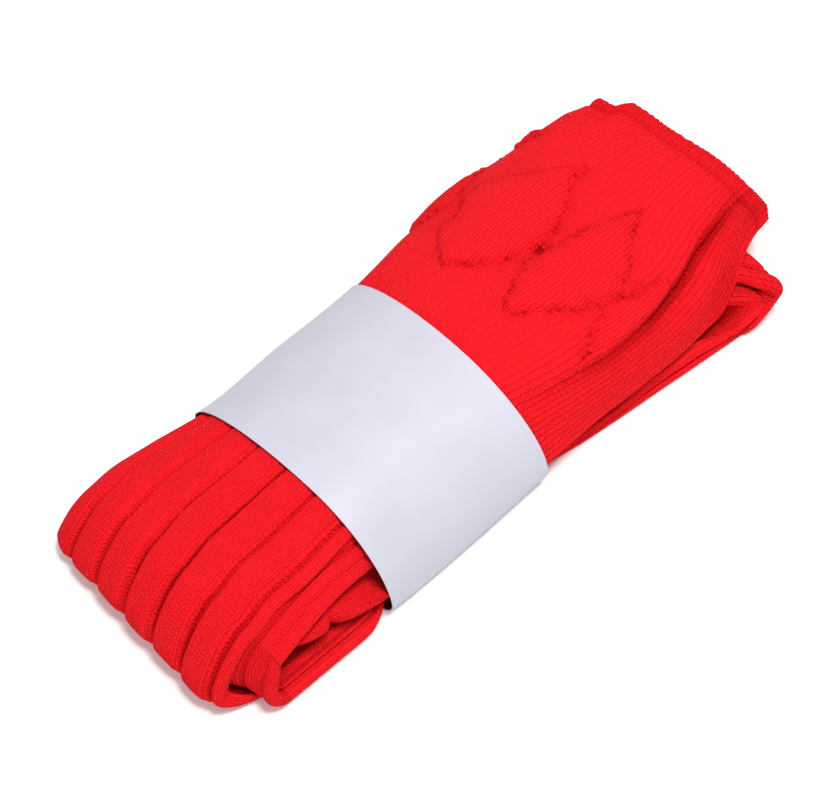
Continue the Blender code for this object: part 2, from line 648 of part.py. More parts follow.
def make_cuff_layers(material, collection):
    """The under plies of both cuffs, layered at their far edge."""
    low_z = FAR_TURN_HEIGHT + 2 * GAP
    stations = np.linspace(RETURN_END_X + 1.3, CUFF_LAYERS_END_X, CUFF_LAYERS_STATIONS)
    rings = []
    for y in np.linspace(CUFF_LAYERS_LEFT_Y, CUFF_LAYERS_RIGHT_Y, CUFF_LAYERS_SECTIONS):
        top = [(x, inner_height(x, y, CUFF_LAYERS_DEPTH)) for x in stations]
        far = layered_edge(top[-1], (stations[-1], low_z), 1.0)
        ring = top[:-1] + far + [(stations[0], low_z)]
        rings.append([(x, y, z) for x, z in ring])
    return stack_of_rings("cuff_layers", rings, material, collection)


def band_loop(x):
    """(y, z) round the middle of the paper band at x."""
    over = upper_section(x, np.linspace(0.0, 1.0, BAND_COLUMNS))
    top = inset(over, -(BAND_EASE + BAND_CARD / 2))
    low = BAND_CARD / 2
    angles = np.linspace(0.0, math.pi / 2, BAND_CORNER_STEPS + 1)[1:]
    right = [(top[-1, 0] + BAND_CORNER * (1.0 - math.cos(a)),
              low + (top[-1, 1] - low) * (1.0 - math.sin(a))) for a in angles]
    left = [(top[0, 0] - BAND_CORNER * (1.0 - math.cos(a)),
             low + (top[0, 1] - low) * (1.0 - math.sin(a))) for a in angles[::-1]]
    return np.array(list(top) + right + left)


def make_paper_band(material, collection):
    """The plain paper band that holds the folded pair."""
    loops = np.array([on_plane(x, band_loop(x)) for x in BAND_STATIONS])
    around = np.roll(loops, -1, axis=1) - np.roll(loops, 1, axis=1)
    out = np.cross(around, np.array([1.0, 0.0, 0.0]))
    out /= np.linalg.norm(out, axis=2, keepdims=True)
    if out[0, BAND_COLUMNS // 2, 2] < 0.0:
        out = -out
    half = BAND_CARD / 2
    return wall("paper_band", loops + out * half, loops - out * half, material, collection,
                closed=True)


def make_material(name, colour, roughness):
    """A plain material of one colour."""
    material = bpy.data.materials.new(name)
    material.use_nodes = True
    shader = material.node_tree.nodes["Principled BSDF"]
    shader.inputs["Base Color"].default_value = colour
    shader.inputs["Roughness"].default_value = roughness
    shader.inputs["Metallic"].default_value = 0.0
    return material


def stand_on_origin(objects):
    """Move all meshes so that the middle of the bundle's underside is the origin."""
    points = np.array([tuple(v.co) for obj in objects for v in obj.data.vertices])
    low = points.min(axis=0)
    high = points.max(axis=0)
    shift = ((low[0] + high[0]) / 2, (low[1] + high[1]) / 2, low[2])
    for obj in objects:
        for vertex in obj.data.vertices:
            vertex.co = [c - s for c, s in zip(vertex.co, shift)]
    print("shift in millimetres", [round(s / MM, 3) for s in shift])


def main():
    for obj in list(bpy.data.objects):
        bpy.data.objects.remove(obj, do_unlink=True)
    collection = bpy.data.collections.new("kilt_socks")
    bpy.context.scene.collection.children.link(collection)
    knit = make_material(*RED_KNIT)
    tucked = make_material(*TUCKED_KNIT)
    paper = make_material(*WHITE_PAPER)
    objects = [
        make_top_sock_leg(knit, collection),
        make_cuff(knit, collection),
        make_second_sock_leg(knit, collection),
        make_inner_ply(tucked, collection),
        make_tucked_foot(tucked, collection),
        make_folded_layers(tucked, collection),
        make_cuff_layers(tucked, collection),
        make_paper_band(paper, collection),
    ]
    stand_on_origin(objects)


main()
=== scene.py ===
"""A pair of red knitted kilt socks, folded in three in a paper band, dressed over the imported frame.

Forms are worked out in millimetres in the drawing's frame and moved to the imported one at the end.
"""
import math

import bpy
import numpy as np
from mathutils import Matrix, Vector


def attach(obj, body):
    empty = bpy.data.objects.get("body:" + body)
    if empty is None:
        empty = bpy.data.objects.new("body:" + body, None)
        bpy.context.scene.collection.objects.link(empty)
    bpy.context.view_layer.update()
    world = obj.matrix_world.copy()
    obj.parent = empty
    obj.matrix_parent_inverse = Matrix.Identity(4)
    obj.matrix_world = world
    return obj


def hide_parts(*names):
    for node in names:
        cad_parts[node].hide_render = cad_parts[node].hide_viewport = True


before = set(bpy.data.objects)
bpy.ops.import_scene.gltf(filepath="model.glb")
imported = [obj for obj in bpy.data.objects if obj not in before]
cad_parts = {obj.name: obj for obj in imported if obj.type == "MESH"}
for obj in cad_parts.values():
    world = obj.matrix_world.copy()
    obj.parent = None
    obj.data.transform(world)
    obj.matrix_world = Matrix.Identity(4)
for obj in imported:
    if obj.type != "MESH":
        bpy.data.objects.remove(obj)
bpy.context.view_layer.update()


# The leg of the top sock: wool knitted all round in wide ribs between sunk purl lines. It runs
# from the seam under the band over the top, turns down round the near fold, goes back along the
# floor, and turns up again at the far end to end inside the bundle.
MM = 0.001
DRAWING_ORIGIN = np.array([5.414, -2.208, 0.0])   # the frame's origin in the drawing
PLY = 3.2
GAP = 0.4
LEG_WIDTH = 112.0
RIB_PITCH = 18.0
RIB_SUNK = 2.0
RIB_CREST_SIDE = 1.0      # how wide a sunk line is on its +Y side, and on the other
RIB_CRISP_SIDE = 0.8
SIDE_WALE = 3.5           # a narrow wale stands beside each sunk line, past a fainter line
SIDE_LINE_SUNK = 0.7
SIDE_LINE_WIDTH = 0.75
SIDE_WALE_SUNK = 0.25
SIDE_WALE_SPREAD = 2.2
WALE_WIDTH = 1.3
WALE_SHIFT = 0.2
RIB_CROWN = 0.32
# how dark the painted shade in the sunk rib lines is
RIB_SHADE = 0.8
TURNED_DOWN_X = -108.0    # the sunk lines open where the leg turns down
TURNED_DOWN_RUN = 22.0
FLOOR_PRESS = 0.65        # how much the floor flattens the ribs
EDGE_STRIP = 7.0
NEAR_ROLL = 2.8           # how much thicker the rolled -Y edge is round each fold
NEAR_ROLL_WIDTH = 6.0
NEAR_CURL = 4.0           # and how far that edge curls in
NEAR_CURL_WIDTH = 7.0
FAR_ROLL = 5.8
FAR_ROLL_WIDTH = 9.0
FAR_GROOVE = 2.0          # the far fold is pressed in a little along its middle
FAR_GROOVE_AT = 0.47
FAR_GROOVE_WIDTH = 0.085
FAR_GROOVE_REACH = 40.0
LOBE_LENGTH = 95.0        # the stretch of the leg at the far fold, with bold wales
LOBE_RUN = 12.0
BAND_NEAR_X = -68.0
BAND_FAR_X = 18.0
BAND_LIFT = 0.9
BAND_LIFT_FROM = 6.0
BAND_LIFT_RUN = 5.0
SEAM_X = -20.0
NEAR_TURN_X = -122.0
NEAR_TURN_LEAN = 0.2
NEAR_LEAN_FROM_Y = -57.0
NEAR_LEAN_RUN = 9.0
NEAR_STEPS = 58           # steps round the near fold
FAR_TURN_X = 126.0
FAR_TURN_REACH = 18.8
FAR_TURN_HEIGHT = 27.3
FAR_TURN_LEAN = 0.33
FAR_TURN_RIGHT_Y = -45.0
FAR_TURN_DRAW = 3.0
FAR_TURN_HOLD = 14.0      # how long the upper part of the far fold keeps its width
FAR_FLARE = 4.0
FAR_STEPS = 52
RETURN_END_X = 105.0      # where the run back inside ends
RETURN_ROWS = 5
UNDER_EDGE_RISE = 3.0
UNDER_EDGE_WIDTH = 8.0
ARC_POINTS = 60
EDGE_PLACES = (0.0, 0.12, 0.4, 0.85, 1.4)   # points by a wall's rounded edge
EDGE_END = 2.0            # and where even spacing starts
EDGE_ROUND = 0.55         # how wide and how deep the rounding is, in thicknesses of the wall
EDGE_FALL = 0.45
ROUND_LIMIT = 0.98        # stops a rounding just short of upright
INNER_STEP = 4            # the plain inner side has a point for every fourth outer one
INNER_SEAM = 5            # its wales are counted from both edges, and meet at a fifth of the way
SHARP_ANGLE = 70.0
TALLY = 50                # the column that tells where a row lies along the socks

# The outer form of the upper side: a row for each cross-section, as two elliptic arcs that
# meet at the crown. A sweep is the angle of the ellipse that an arc covers.
UPPER_FORM = (
    ("x", "crown_y", "crown_z", "left_y", "left_z", "left_sweep",
     "right_y", "right_z", "right_sweep"),
    (-122, 6, 37.5, 62.5, 19, 70, -57, 27, 78),
    (-108, 2, 40, 63, 19, 74, -57, 26, 82),
    (-90, -6, 43.5, 61, 18, 78, -57, 24, 84),
    (-79, -9.5, 45, 59, 17.5, 80, -56.5, 18, 84),
    (-68, -12, 46, 57, 17, 82, -56, 11, 83),
    (-25, -9, 46, 57, 17, 82, -56.5, 10, 84),
    (18, -6, 45.5, 57, 17, 82, -56.5, 14, 84),
    (50, -5, 48, 60.5, 18, 81, -57.5, 18, 82),
    (80, -5, 49, 62, 19, 80, -58, 17.5, 81),
    (110, -4, 47, 59.5, 21, 78, -57, 13, 80),
    (127, -3, 45, 56.5, 25, 74, -55, 13, 78),
    (134, -2, 44, 55, 27, 71, -52.5, 22, 73),
    (140, -1, 43, 53.5, 29, 68, -49.5, 28, 65),
    (148, 0, 41.5, 50, 31, 64, -46.5, 31.5, 57),
    (160, 0, 40, 47, 33, 60, -44.5, 33, 52),
)
TOP_EDGE = (("x", "y"), (-122, -38.5), (-108, -36.5), (-95, -37.3), (-68, -35.5), (18, -35))
NEAR_FOLD = (
    ("y", "reach", "second_reach"),
    (-62, 10, 9.5), (-54, 12, 10), (-48, 17, 11.5), (-44, 21, 13), (-38, 24.5, 17),
    (-30, 25.5, 21.5), (-18, 25, 24.5), (0, 24.5, 24.5), (20, 23.5, 23.5), (44, 22.4, 20.8),
    (55, 21.2, 18.5), (63, 16.2, 15),
)
UNDERSIDE = (
    ("x", "left_y", "right_y", "under_right_y"),
    (-122, 59, -48, -58.5), (-95, 56, -47, -59), (-83, 54.5, -47, -59.2),
    (-76, 53.2, -47, -58.8), (-70.5, 52.7, -47.3, -57.7), (-67, 52.5, -47.5, -55.4),
    (18, 52.5, -50, -54.5), (44, 54.5, -55, -57), (60, 56, -57, -59), (86, 55, -60, -61.5),
    (102, 54, -62, -63.5), (126, 52, -64.5, -66.5),
)


def ramp(distance, run):
    """A share that rises evenly from 0 to 1 over the run."""
    return np.clip(distance / run, 0.0, 1.0)


def eased(distance, run):
    """A ramp that is eased at both ends."""
    share = ramp(distance, run)
    return share * share * (3.0 - 2.0 * share)


def bell(distance, width, power=2):
    """1 at no distance, falling off softly over the width."""
    return np.exp(-(distance / width) ** power)


def rounded(share):
    """How far a quarter round has fallen at a share from 0, its top, to 1."""
    return 1.0 - np.sqrt(1.0 - ROUND_LIMIT * share ** 2)


def smooth_between(places, stations, values):
    """A smooth curve through the table's values, read at one place or at many."""
    stations = np.asarray(stations, float)
    values = np.asarray(values, float)
    slopes = np.gradient(values, stations)
    i = np.clip(np.searchsorted(stations, places) - 1, 0, len(stations) - 2)
    step = stations[i + 1] - stations[i]
    t = ramp(places - stations[i], step)
    rise = values[i + 1] - values[i]
    a = slopes[i] * step - rise
    b = rise - slopes[i + 1] * step
    return values[i] + rise * t + t * (1.0 - t) * (a * (1.0 - t) + b * t)


def table_row(table, places, reading=smooth_between):
    """The values of a table at places in its first column, by the names in its first row."""
    names, *rows = table
    stations, *columns = zip(*rows)
    return {name: reading(places, stations, values)
            for name, values in zip(names[1:], columns)}


def upper_line(x):
    """The outer form across the upper side at x: (y, z) from the +Y edge to the -Y edge."""
    row = table_row(UPPER_FORM, x)
    arcs = []
    for side, sign in (("left", 1.0), ("right", -1.0)):
        sweep = math.radians(row[side + "_sweep"])
        reach = abs(row[side + "_y"] - row["crown_y"])
        fall = row["crown_z"] - row[side + "_z"]
        angles = np.linspace(0.0, sweep, ARC_POINTS)
        y = row["crown_y"] + sign * reach * np.sin(angles) / math.sin(sweep)
        z = row["crown_z"] - fall * (1.0 - np.cos(angles)) / (1.0 - math.cos(sweep))
        arcs.append(np.stack([y, z], axis=1))
    return np.concatenate([arcs[0][::-1], arcs[1][1:]])


def height_on(line, y):
    """The height of a line across the socks at y."""
    return np.interp(-y, -line[:, 0], line[:, 1])


def lengths_along(line):
    """How far along a line each of its points lies."""
    steps = np.linalg.norm(np.diff(line, axis=0), axis=1)
    return np.concatenate([[0.0], np.cumsum(steps)])


def upper_section(x, fractions, from_y=None, to_y=None):
    """Points of the outer form at x, at fractions of the way along it from one y to the
    other. Left out, they are the +Y edge and the -Y edge."""
    line = upper_line(x)
    length = lengths_along(line)
    start = 0.0 if from_y is None else float(np.interp(-from_y, -line[:, 0], length))
    end = length[-1] if to_y is None else float(np.interp(-to_y, -line[:, 0], length))
    wanted = start + (end - start) * np.asarray(fractions, float)
    return np.stack([np.interp(wanted, length, line[:, k]) for k in range(2)], axis=1)


def inset(section, depth):
    """A section of the upper side moved inward by the depth."""
    slope = np.gradient(section, axis=0)
    inward = np.stack([slope[:, 1], -slope[:, 0]], axis=1)
    inward /= np.linalg.norm(inward, axis=1, keepdims=True)
    if inward[len(inward) // 2, 1] > 0.0:
        inward = -inward
    return section + inward * depth


def floor_lift(x):
    """The cloth rises a little where the band passes under it."""
    inside = min(x - (BAND_NEAR_X - BAND_LIFT_FROM), (BAND_FAR_X + BAND_LIFT_FROM) - x)
    return BAND_LIFT * float(ramp(inside, BAND_LIFT_RUN))


def lower_height(x, y):
    """Height of the underside above the floor: its side edges lift a little."""
    row = table_row(UNDERSIDE, x)
    inside = np.minimum(row["left_y"] - y, y - row["under_right_y"])
    edge = np.clip(1.0 - inside / UNDER_EDGE_WIDTH, 0.0, 1.0)
    return floor_lift(x) + UNDER_EDGE_RISE * edge ** 2


def on_plane(x, section):
    """A cross-section as 3-D points at x."""
    return np.column_stack([np.full(len(section), x), section])


def lower_row(x, fractions, right_name):
    """Points across the flat underside at x."""
    row = table_row(UNDERSIDE, x)
    y = row["left_y"] + (row[right_name] - row["left_y"]) * np.asarray(fractions, float)
    return on_plane(x, np.column_stack([y, lower_height(x, y)]))


def near_turn(start, end, reach_name, steps):
    """Rows of points round the near fold. All of them lie on one form, wherever the two rows
    have their points, so that one leg can lie in the other."""
    line = upper_line(NEAR_TURN_X)
    rows = []
    for step in range(1, steps):
        angle = math.pi * step / steps
        y = start[:, 1] + (end[:, 1] - start[:, 1]) * (1.0 - math.cos(angle)) / 2.0
        reach = table_row(NEAR_FOLD, y)[reach_name]
        high = height_on(line, y)
        low = lower_height(NEAR_TURN_X, y)
        lean = NEAR_TURN_LEAN * ramp(y - NEAR_LEAN_FROM_Y, NEAR_LEAN_RUN)
        out = math.sin(angle) - lean * math.sin(2.0 * angle)
        z = (high + low) / 2 + (high - low) / 2 * math.cos(angle)
        rows.append(np.column_stack([NEAR_TURN_X - reach * out, y, z]))
    return rows


def leg_form(fractions, top_edge, right_name, reach_name, upper_x, lower_x, steps):
    """Rows of points along a leg on the outer form: from the seam over the top, round the
    near fold and back along the floor to where it turns up again."""
    rows = []
    for x in upper_x:
        edge = table_row(top_edge, x)["y"]
        rows.append(on_plane(x, upper_section(x, fractions, to_y=edge)))
    rows += near_turn(rows[-1], lower_row(NEAR_TURN_X, fractions, right_name), reach_name, steps)
    rows += [lower_row(x, fractions, right_name) for x in lower_x]
    return np.array(rows)


def with_far_turn(form, from_x, reach, height, right_y, flare, steps):
    """The rows of a leg with its second turn added, and the run that goes back inside."""
    end = form[-1]
    shares = (end[:, 1] - end[0, 1]) / (end[-1, 1] - end[0, 1])
    left_y = end[0, 1] - FAR_TURN_DRAW
    top = np.column_stack([np.full(len(end), from_x), left_y + (right_y - left_y) * shares,
                           np.full(len(end), height)])
    rows = []
    across = np.linspace(0.0, 1.0, len(end))
    for step in range(1, steps):
        angle = math.pi * step / steps
        share = (1.0 - math.cos(angle)) / 2.0
        row = end + (top - end) * share
        row[:, 0] += reach * (math.sin(angle) - FAR_TURN_LEAN * math.sin(2.0 * angle))
        row[:, 1] = end[:, 1] + (top[:, 1] - end[:, 1]) * share ** FAR_TURN_HOLD
        row[:, 1] -= flare * math.sin(angle) * across ** 3
        rows.append(row)
    back = [on_plane(x, top[:, 1:]) for x in np.linspace(from_x, RETURN_END_X, RETURN_ROWS)[1:]]
    return np.concatenate([form, np.array(rows + [top] + back)])


def turn_shares(form, upper_x, lower_x, far_steps):
    """How far round the near fold and round the far one each row of a leg lies, from 0 to 1."""
    past = np.arange(len(form)) - len(upper_x)
    return past / (NEAR_STEPS - 1), (past - (NEAR_STEPS - 1) - len(lower_x)) / (far_steps - 1)


def grid_normals(grid):
    """Unit normals of a grid of points, pointing up on its first row."""
    normal = np.cross(np.gradient(grid, axis=0), np.gradient(grid, axis=1))
    normal /= np.linalg.norm(normal, axis=2, keepdims=True)
    if normal[0, normal.shape[1] // 2, 2] < 0.0:
        normal = -normal
    return normal


def row_lengths(grid):
    """How far along its middle column each row of a grid lies."""
    return lengths_along(grid[:, grid.shape[1] // 2])


def edge_sink(distance, thickness=PLY):
    """How far a wall's face sinks toward the middle of the wall near its rounded edge."""
    near = 1.0 - ramp(distance, EDGE_ROUND * thickness)
    return EDGE_FALL * thickness * rounded(near)


def unevenness(u, v):
    """Slow rises and dips of hand-laid cloth, as two waves with lengths in millimetres."""
    wave = np.sin(u / 9.7 + 1.3 * np.sin(v / 13.1)) * np.sin(v / 11.3 + 0.8)
    fine = np.sin(u / 4.1 + 2.1 * np.sin(v / 7.7 + 0.4)) * np.sin(v / 5.3 + 2.0)
    return 0.22 * wave + 0.10 * fine


def grid_faces(rows, columns, first=0, closed=False, turned=False):
    """The faces over a grid of points, whose rows may be closed to rings. The first is the
    number of the grid's first point."""
    faces = []
    for i in range(rows - 1):
        low = first + i * columns
        for j in range(columns if closed else columns - 1):
            k = (j + 1) % columns
            a, b, c, d = low + j, low + k, low + columns + k, low + columns + j
            faces.append((a, d, c, b) if turned else (a, b, c, d))
    return faces


def facing_out(points, faces, outward, sample=0):
    """The faces of a closed shape, all turned round if the sample doesn't point outward."""
    a, b, c = (points[k] for k in faces[sample][:3])
    if float(np.dot(np.cross(b - a, c - a), outward)) < 0.0:
        return [face[::-1] for face in faces]
    return faces


def place_mesh(name, points, faces, knit, marks, material):
    """A mesh object from points in the drawing, with the knit's own coordinates on it. The
    marks are how far each point is purl and bold, and how much painted shade it has."""
    mesh = bpy.data.meshes.new(name)
    placed = (points - DRAWING_ORIGIN) * MM
    mesh.from_pydata(placed.tolist(), [], faces)
    mesh.update()
    for label, values in zip(("purl", "bold", "painted_hollow_shade"), marks):
        mesh.attributes.new(label, "FLOAT", "POINT").data.foreach_set("value", values)
    coordinates = mesh.attributes.new("knit_mm", "FLOAT_VECTOR", "POINT")
    coordinates.data.foreach_set("vector", knit.ravel())
    mesh.materials.append(material)
    mesh.shade_smooth()
    mesh.set_sharp_from_angle(angle=math.radians(SHARP_ANGLE))
    piece = bpy.data.objects.new(name, mesh)
    bpy.context.scene.collection.objects.link(piece)
    return piece


def across_both_sides(outer, inner, across):
    """How far each point lies across the knitting, measured over both rounded edges, so that
    the wales keep their width there. The outer side's, then the inner side's."""
    longer = np.linalg.norm(np.diff(outer, axis=1), axis=2) - np.diff(across)[None, :]
    from_edge = np.minimum(across[:-1], across[-1] - across[1:])
    longer = longer * (from_edge < EDGE_STRIP)[None, :]
    extra = np.concatenate([np.zeros((len(outer), 1)), np.cumsum(longer, axis=1)], axis=1)
    extra -= extra[:, len(across) // 2][:, None]
    outer_across = across[None, :] + extra
    rim = np.linalg.norm(outer - inner, axis=2)
    past_left = outer_across[:, :1] - rim[:, :1] - across[None, :]
    past_right = outer_across[:, -1:] + rim[:, -1:] + (across[-1] - across)[None, :]
    on_right = (across > across[-1] / INNER_SEAM)[None, :]
    return outer_across, np.where(on_right, past_right, past_left)


def knit_wall(name, outer, inner, along, across, purl, bold, shade, inner_shade, material,
              drift=0.0):
    """A closed wall of cloth from its outer grid and the plain inner one, which keeps one
    point in INNER_STEP each way. The rim joins them. The shade and the inner shade are
    painted shade for deep hollows, and the drift is how far the wales are pushed aside."""
    rows, columns = outer.shape[:2]
    kept_rows = sorted(set(range(0, rows, INNER_STEP)) | {rows - 1})
    kept_columns = sorted(set(range(0, columns, INNER_STEP)) | {columns - 1})
    kept = np.ix_(kept_rows, kept_columns)
    count = rows * columns
    width = len(kept_columns)
    points = np.concatenate([outer.reshape(-1, 3), inner[kept].reshape(-1, 3)])
    faces = grid_faces(rows, columns)
    faces += grid_faces(len(kept_rows), width, count, turned=True)
    for k in range(len(kept_rows) - 1):
        first, last = kept_rows[k], kept_rows[k + 1]
        low = count + k * width
        left = [i * columns for i in range(first, last + 1)]
        right = [i * columns + columns - 1 for i in range(last, first - 1, -1)]
        faces.append((*left, low + width, low))
        faces.append((*right, low + width - 1, low + 2 * width - 1))
    for k in range(width - 1):
        first, last = kept_columns[k], kept_columns[k + 1]
        end = count - columns
        inner_end = len(points) - width + k
        faces.append((*range(last, first - 1, -1), count + k, count + k + 1))
        faces.append((*range(end + first, end + last + 1), inner_end + 1, inner_end))
    faces = facing_out(points, faces, grid_normals(outer)[0, 0])
    level = np.zeros((rows, columns))
    knit_along = np.broadcast_to(along[:, None], (rows, columns))
    outer_across, inner_across = across_both_sides(outer, inner, across)
    knit_outer = np.dstack([knit_along, outer_across + drift, level])
    knit_inner = np.dstack([knit_along, inner_across, level])[kept]
    knit = np.concatenate([knit_outer.reshape(-1, 3), knit_inner.reshape(-1, 3)])
    marks = [np.concatenate([mark.ravel(), np.broadcast_to(inside, level.shape)[kept].ravel()])
             for mark, inside in ((purl, 0.0), (bold, 0.0), (shade, inner_shade))]
    return place_mesh(name, points, faces, knit, marks, material)


def new_group(name, inputs, outputs):
    """A shader node group with named inputs, each with its value or None for a vector, and
    with named outputs."""
    group = bpy.data.node_groups.new(name, "ShaderNodeTree")
    for label, value in inputs.items():
        kind = "NodeSocketVector" if value is None else "NodeSocketFloat"
        socket = group.interface.new_socket(name=label, in_out="INPUT", socket_type=kind)
        if value is not None:
            socket.default_value = value
    for label in outputs:
        group.interface.new_socket(name=label, in_out="OUTPUT", socket_type="NodeSocketFloat")
    return group


class Nodes:
    """Short ways to add nodes to one tree and to feed their inputs, by name or by number."""

    def __init__(self, tree):
        self.tree = tree

    def feed(self, node, given):
        for label, value in given.items():
            if isinstance(value, bpy.types.NodeSocket):
                self.tree.links.new(value, node.inputs[label])
            else:
                node.inputs[label].default_value = value

    def add(self, kind, given=(), **settings):
        node = self.tree.nodes.new(kind)
        for key, value in settings.items():
            setattr(node, key, value)
        self.feed(node, dict(given))
        return node

    def math(self, operation, *values, clamp=False):
        given = enumerate(values)
        return self.add("ShaderNodeMath", given, operation=operation, use_clamp=clamp).outputs[0]

    def mix(self, share, first, second):
        given = {0: share, 2: first, 3: second}
        return self.add("ShaderNodeMix", given, data_type="FLOAT").outputs[0]

    def mix_colour(self, share, first, second):
        given = {0: share, 6: first, 7: second}
        return self.add("ShaderNodeMix", given, data_type="RGBA").outputs[2]

    def noise(self, vector, scale, detail=2.0):
        given = {"Vector": vector, "Scale": scale, "Detail": detail}
        return self.add("ShaderNodeTexNoise", given).outputs["Fac"]

    def attribute(self, name, output="Fac"):
        return self.add("ShaderNodeAttribute", attribute_name=name).outputs[output]


def new_material(name):
    """A new material, a way to its nodes, and its shader."""
    material = bpy.data.materials.new(name)
    material.use_nodes = True
    return material, Nodes(material.node_tree), material.node_tree.nodes["Principled BSDF"]


STITCH_SHAKE = ((0.45, 2.4), (0.31, 1.5))   # its noise scale and size, along and across
FINE_STITCH = (1.3, 0.28)     # how far a stitch's legs slant, in rows, and how beaded they are
BROAD_STITCH = (1.5, 0.42)
BROAD_LEGS = 0.95             # a bold wale is part stitches and part one round ridge
BROAD_RIDGE = 0.52
FINE_LIFT = 0.14              # fine stitches lie closer, so less painted shade falls in their gaps
PURL_BEADS = 1.3
WOOL_FUZZ = 0.9
GAP_SHADE = 0.44              # how dark the painted shade is in the stitches' gaps, in purl and in deep hollows
PURL_SHADE = 0.30
HOLLOW_SHADE = 0.55
BLOTCH_SHADE = 0.12


def make_stitch_group():
    """Knit stitches over a surface whose coordinates are in millimetres: X along the wales, Y
    across them. Purl is the bumpy back of the fabric, and bold spreads the wales apart."""
    group = new_group("Knit stitches",
                      {"Knit": None, "Purl": 0.0, "Bold": 0.0, "Wale": 2.5, "Row": 1.8,
                       "Bold Wale": 2.9, "Bold Row": 2.3}, ("Height", "Gap Shade"))
    n = Nodes(group)
    given = n.add("NodeGroupInput").outputs
    knit = n.add("ShaderNodeSeparateXYZ", {0: given["Knit"]}).outputs
    shaken = []
    for place, (scale, size) in zip(knit, STITCH_SHAKE):
        shake = n.math("SUBTRACT", n.noise(given["Knit"], scale), 0.5)
        shaken.append(n.math("ADD", place, n.math("MULTIPLY", shake, size)))
    u, v = shaken

    def face_height(width, row, slant, bead):
        across = n.math("FRACT", n.math("DIVIDE", v, width))
        aside = n.math("ABSOLUTE", n.math("SUBTRACT", across, 0.5))
        from_leg = n.math("DIVIDE", n.math("SUBTRACT", aside, 0.25), 0.25)
        leg = n.math("SUBTRACT", 1.0, n.math("MULTIPLY", from_leg, from_leg), clamp=True)
        rows = n.math("ADD", n.math("DIVIDE", u, row), n.math("MULTIPLY", aside, slant))
        wave = n.math("COSINE", n.math("MULTIPLY", rows, 2.0 * math.pi))
        loops = n.math("MULTIPLY_ADD", wave, bead, 1.0 - bead)
        return n.math("MULTIPLY", n.math("POWER", leg, 0.6), loops), across

    def bead_wave(place, pitch):
        turns = n.math("DIVIDE", place, pitch)
        return n.math("COSINE", n.math("MULTIPLY", turns, math.pi))

    fine, _ = face_height(given["Wale"], given["Row"], *FINE_STITCH)
    broad, across = face_height(given["Bold Wale"], given["Bold Row"], *BROAD_STITCH)
    from_middle = n.math("SUBTRACT", across, 0.5)
    ridge = n.math("COSINE", n.math("MULTIPLY", from_middle, 2.0 * math.pi))
    ridge = n.math("MULTIPLY_ADD", ridge, 0.5, 0.5)
    broad = n.math("ADD", n.math("MULTIPLY", broad, BROAD_LEGS),
                   n.math("MULTIPLY", ridge, BROAD_RIDGE))
    beads = n.math("MULTIPLY", bead_wave(u, given["Row"]), bead_wave(v, given["Wale"]))
    beads = n.math("MULTIPLY", n.math("ABSOLUTE", beads), PURL_BEADS)
    face = n.mix(given["Bold"], fine, broad)
    not_bold = n.math("SUBTRACT", 1.0, given["Bold"])
    face = n.math("ADD", face, n.math("MULTIPLY", not_bold, FINE_LIFT))
    height = n.mix(given["Purl"], face, beads)
    wool = n.noise(given["Knit"], 1.6, 4.0)
    wool = n.math("MULTIPLY_ADD", wool, WOOL_FUZZ, -WOOL_FUZZ / 2)
    height = n.math("ADD", height, wool)
    # painted shade: the lower a point lies among the stitches, the darker it is painted
    painted_shade = n.math("SUBTRACT", 1.0, height, clamp=True)
    n.add("NodeGroupOutput", {"Height": height, "Gap Shade": painted_shade})
    return group


def make_knit_material(name, colour):
    """Matte brushed wool: stitches in relief, with painted shade in their gaps, purl and
    hollows, and a soft pale nap.
    """
    material, n, shader = new_material(name)
    stitches = n.add("ShaderNodeGroup", node_tree=stitch_group)
    n.feed(stitches, {"Knit": n.attribute("knit_mm", "Vector"),
                      "Purl": n.attribute("purl"), "Bold": n.attribute("bold")})
    blotch = n.noise(n.add("ShaderNodeTexCoord").outputs["Object"], 60.0, 3.0)
    # painted shade in the gaps between the stitches
    painted_shade = n.math("MULTIPLY", stitches.outputs["Gap Shade"], GAP_SHADE)
    # painted shade in purl, which marks grooves and rings that lie in shadow
    painted_shade = n.math("ADD", painted_shade, n.math("MULTIPLY", n.attribute("purl"), PURL_SHADE))
    # painted shade where the cloth lies in hollows, grooves and folds
    painted_hollow_shade = n.math("MULTIPLY", n.attribute("painted_hollow_shade"), HOLLOW_SHADE)
    painted_shade = n.math("ADD", painted_shade, painted_hollow_shade, clamp=True)
    base = n.mix_colour(painted_shade, colour, DEEP_RED)
    base = n.mix_colour(n.math("MULTIPLY", blotch, BLOTCH_SHADE), base, DEEP_RED)
    bump = n.add("ShaderNodeBump", {"Strength": 0.9, "Distance": 0.0009,
                                    "Height": stitches.outputs["Height"]})
    n.feed(shader, {"Base Color": base,
                    "Roughness": n.math("MULTIPLY_ADD", blotch, 0.15, 0.8),
                    "Specular IOR Level": 0.03,
                    "Sheen Weight": 0.10,
                    "Sheen Roughness": 0.5,
                    "Sheen Tint": (1.0, 0.06, 0.08, 1.0),
                    "Normal": bump.outputs["Normal"]})
    return material


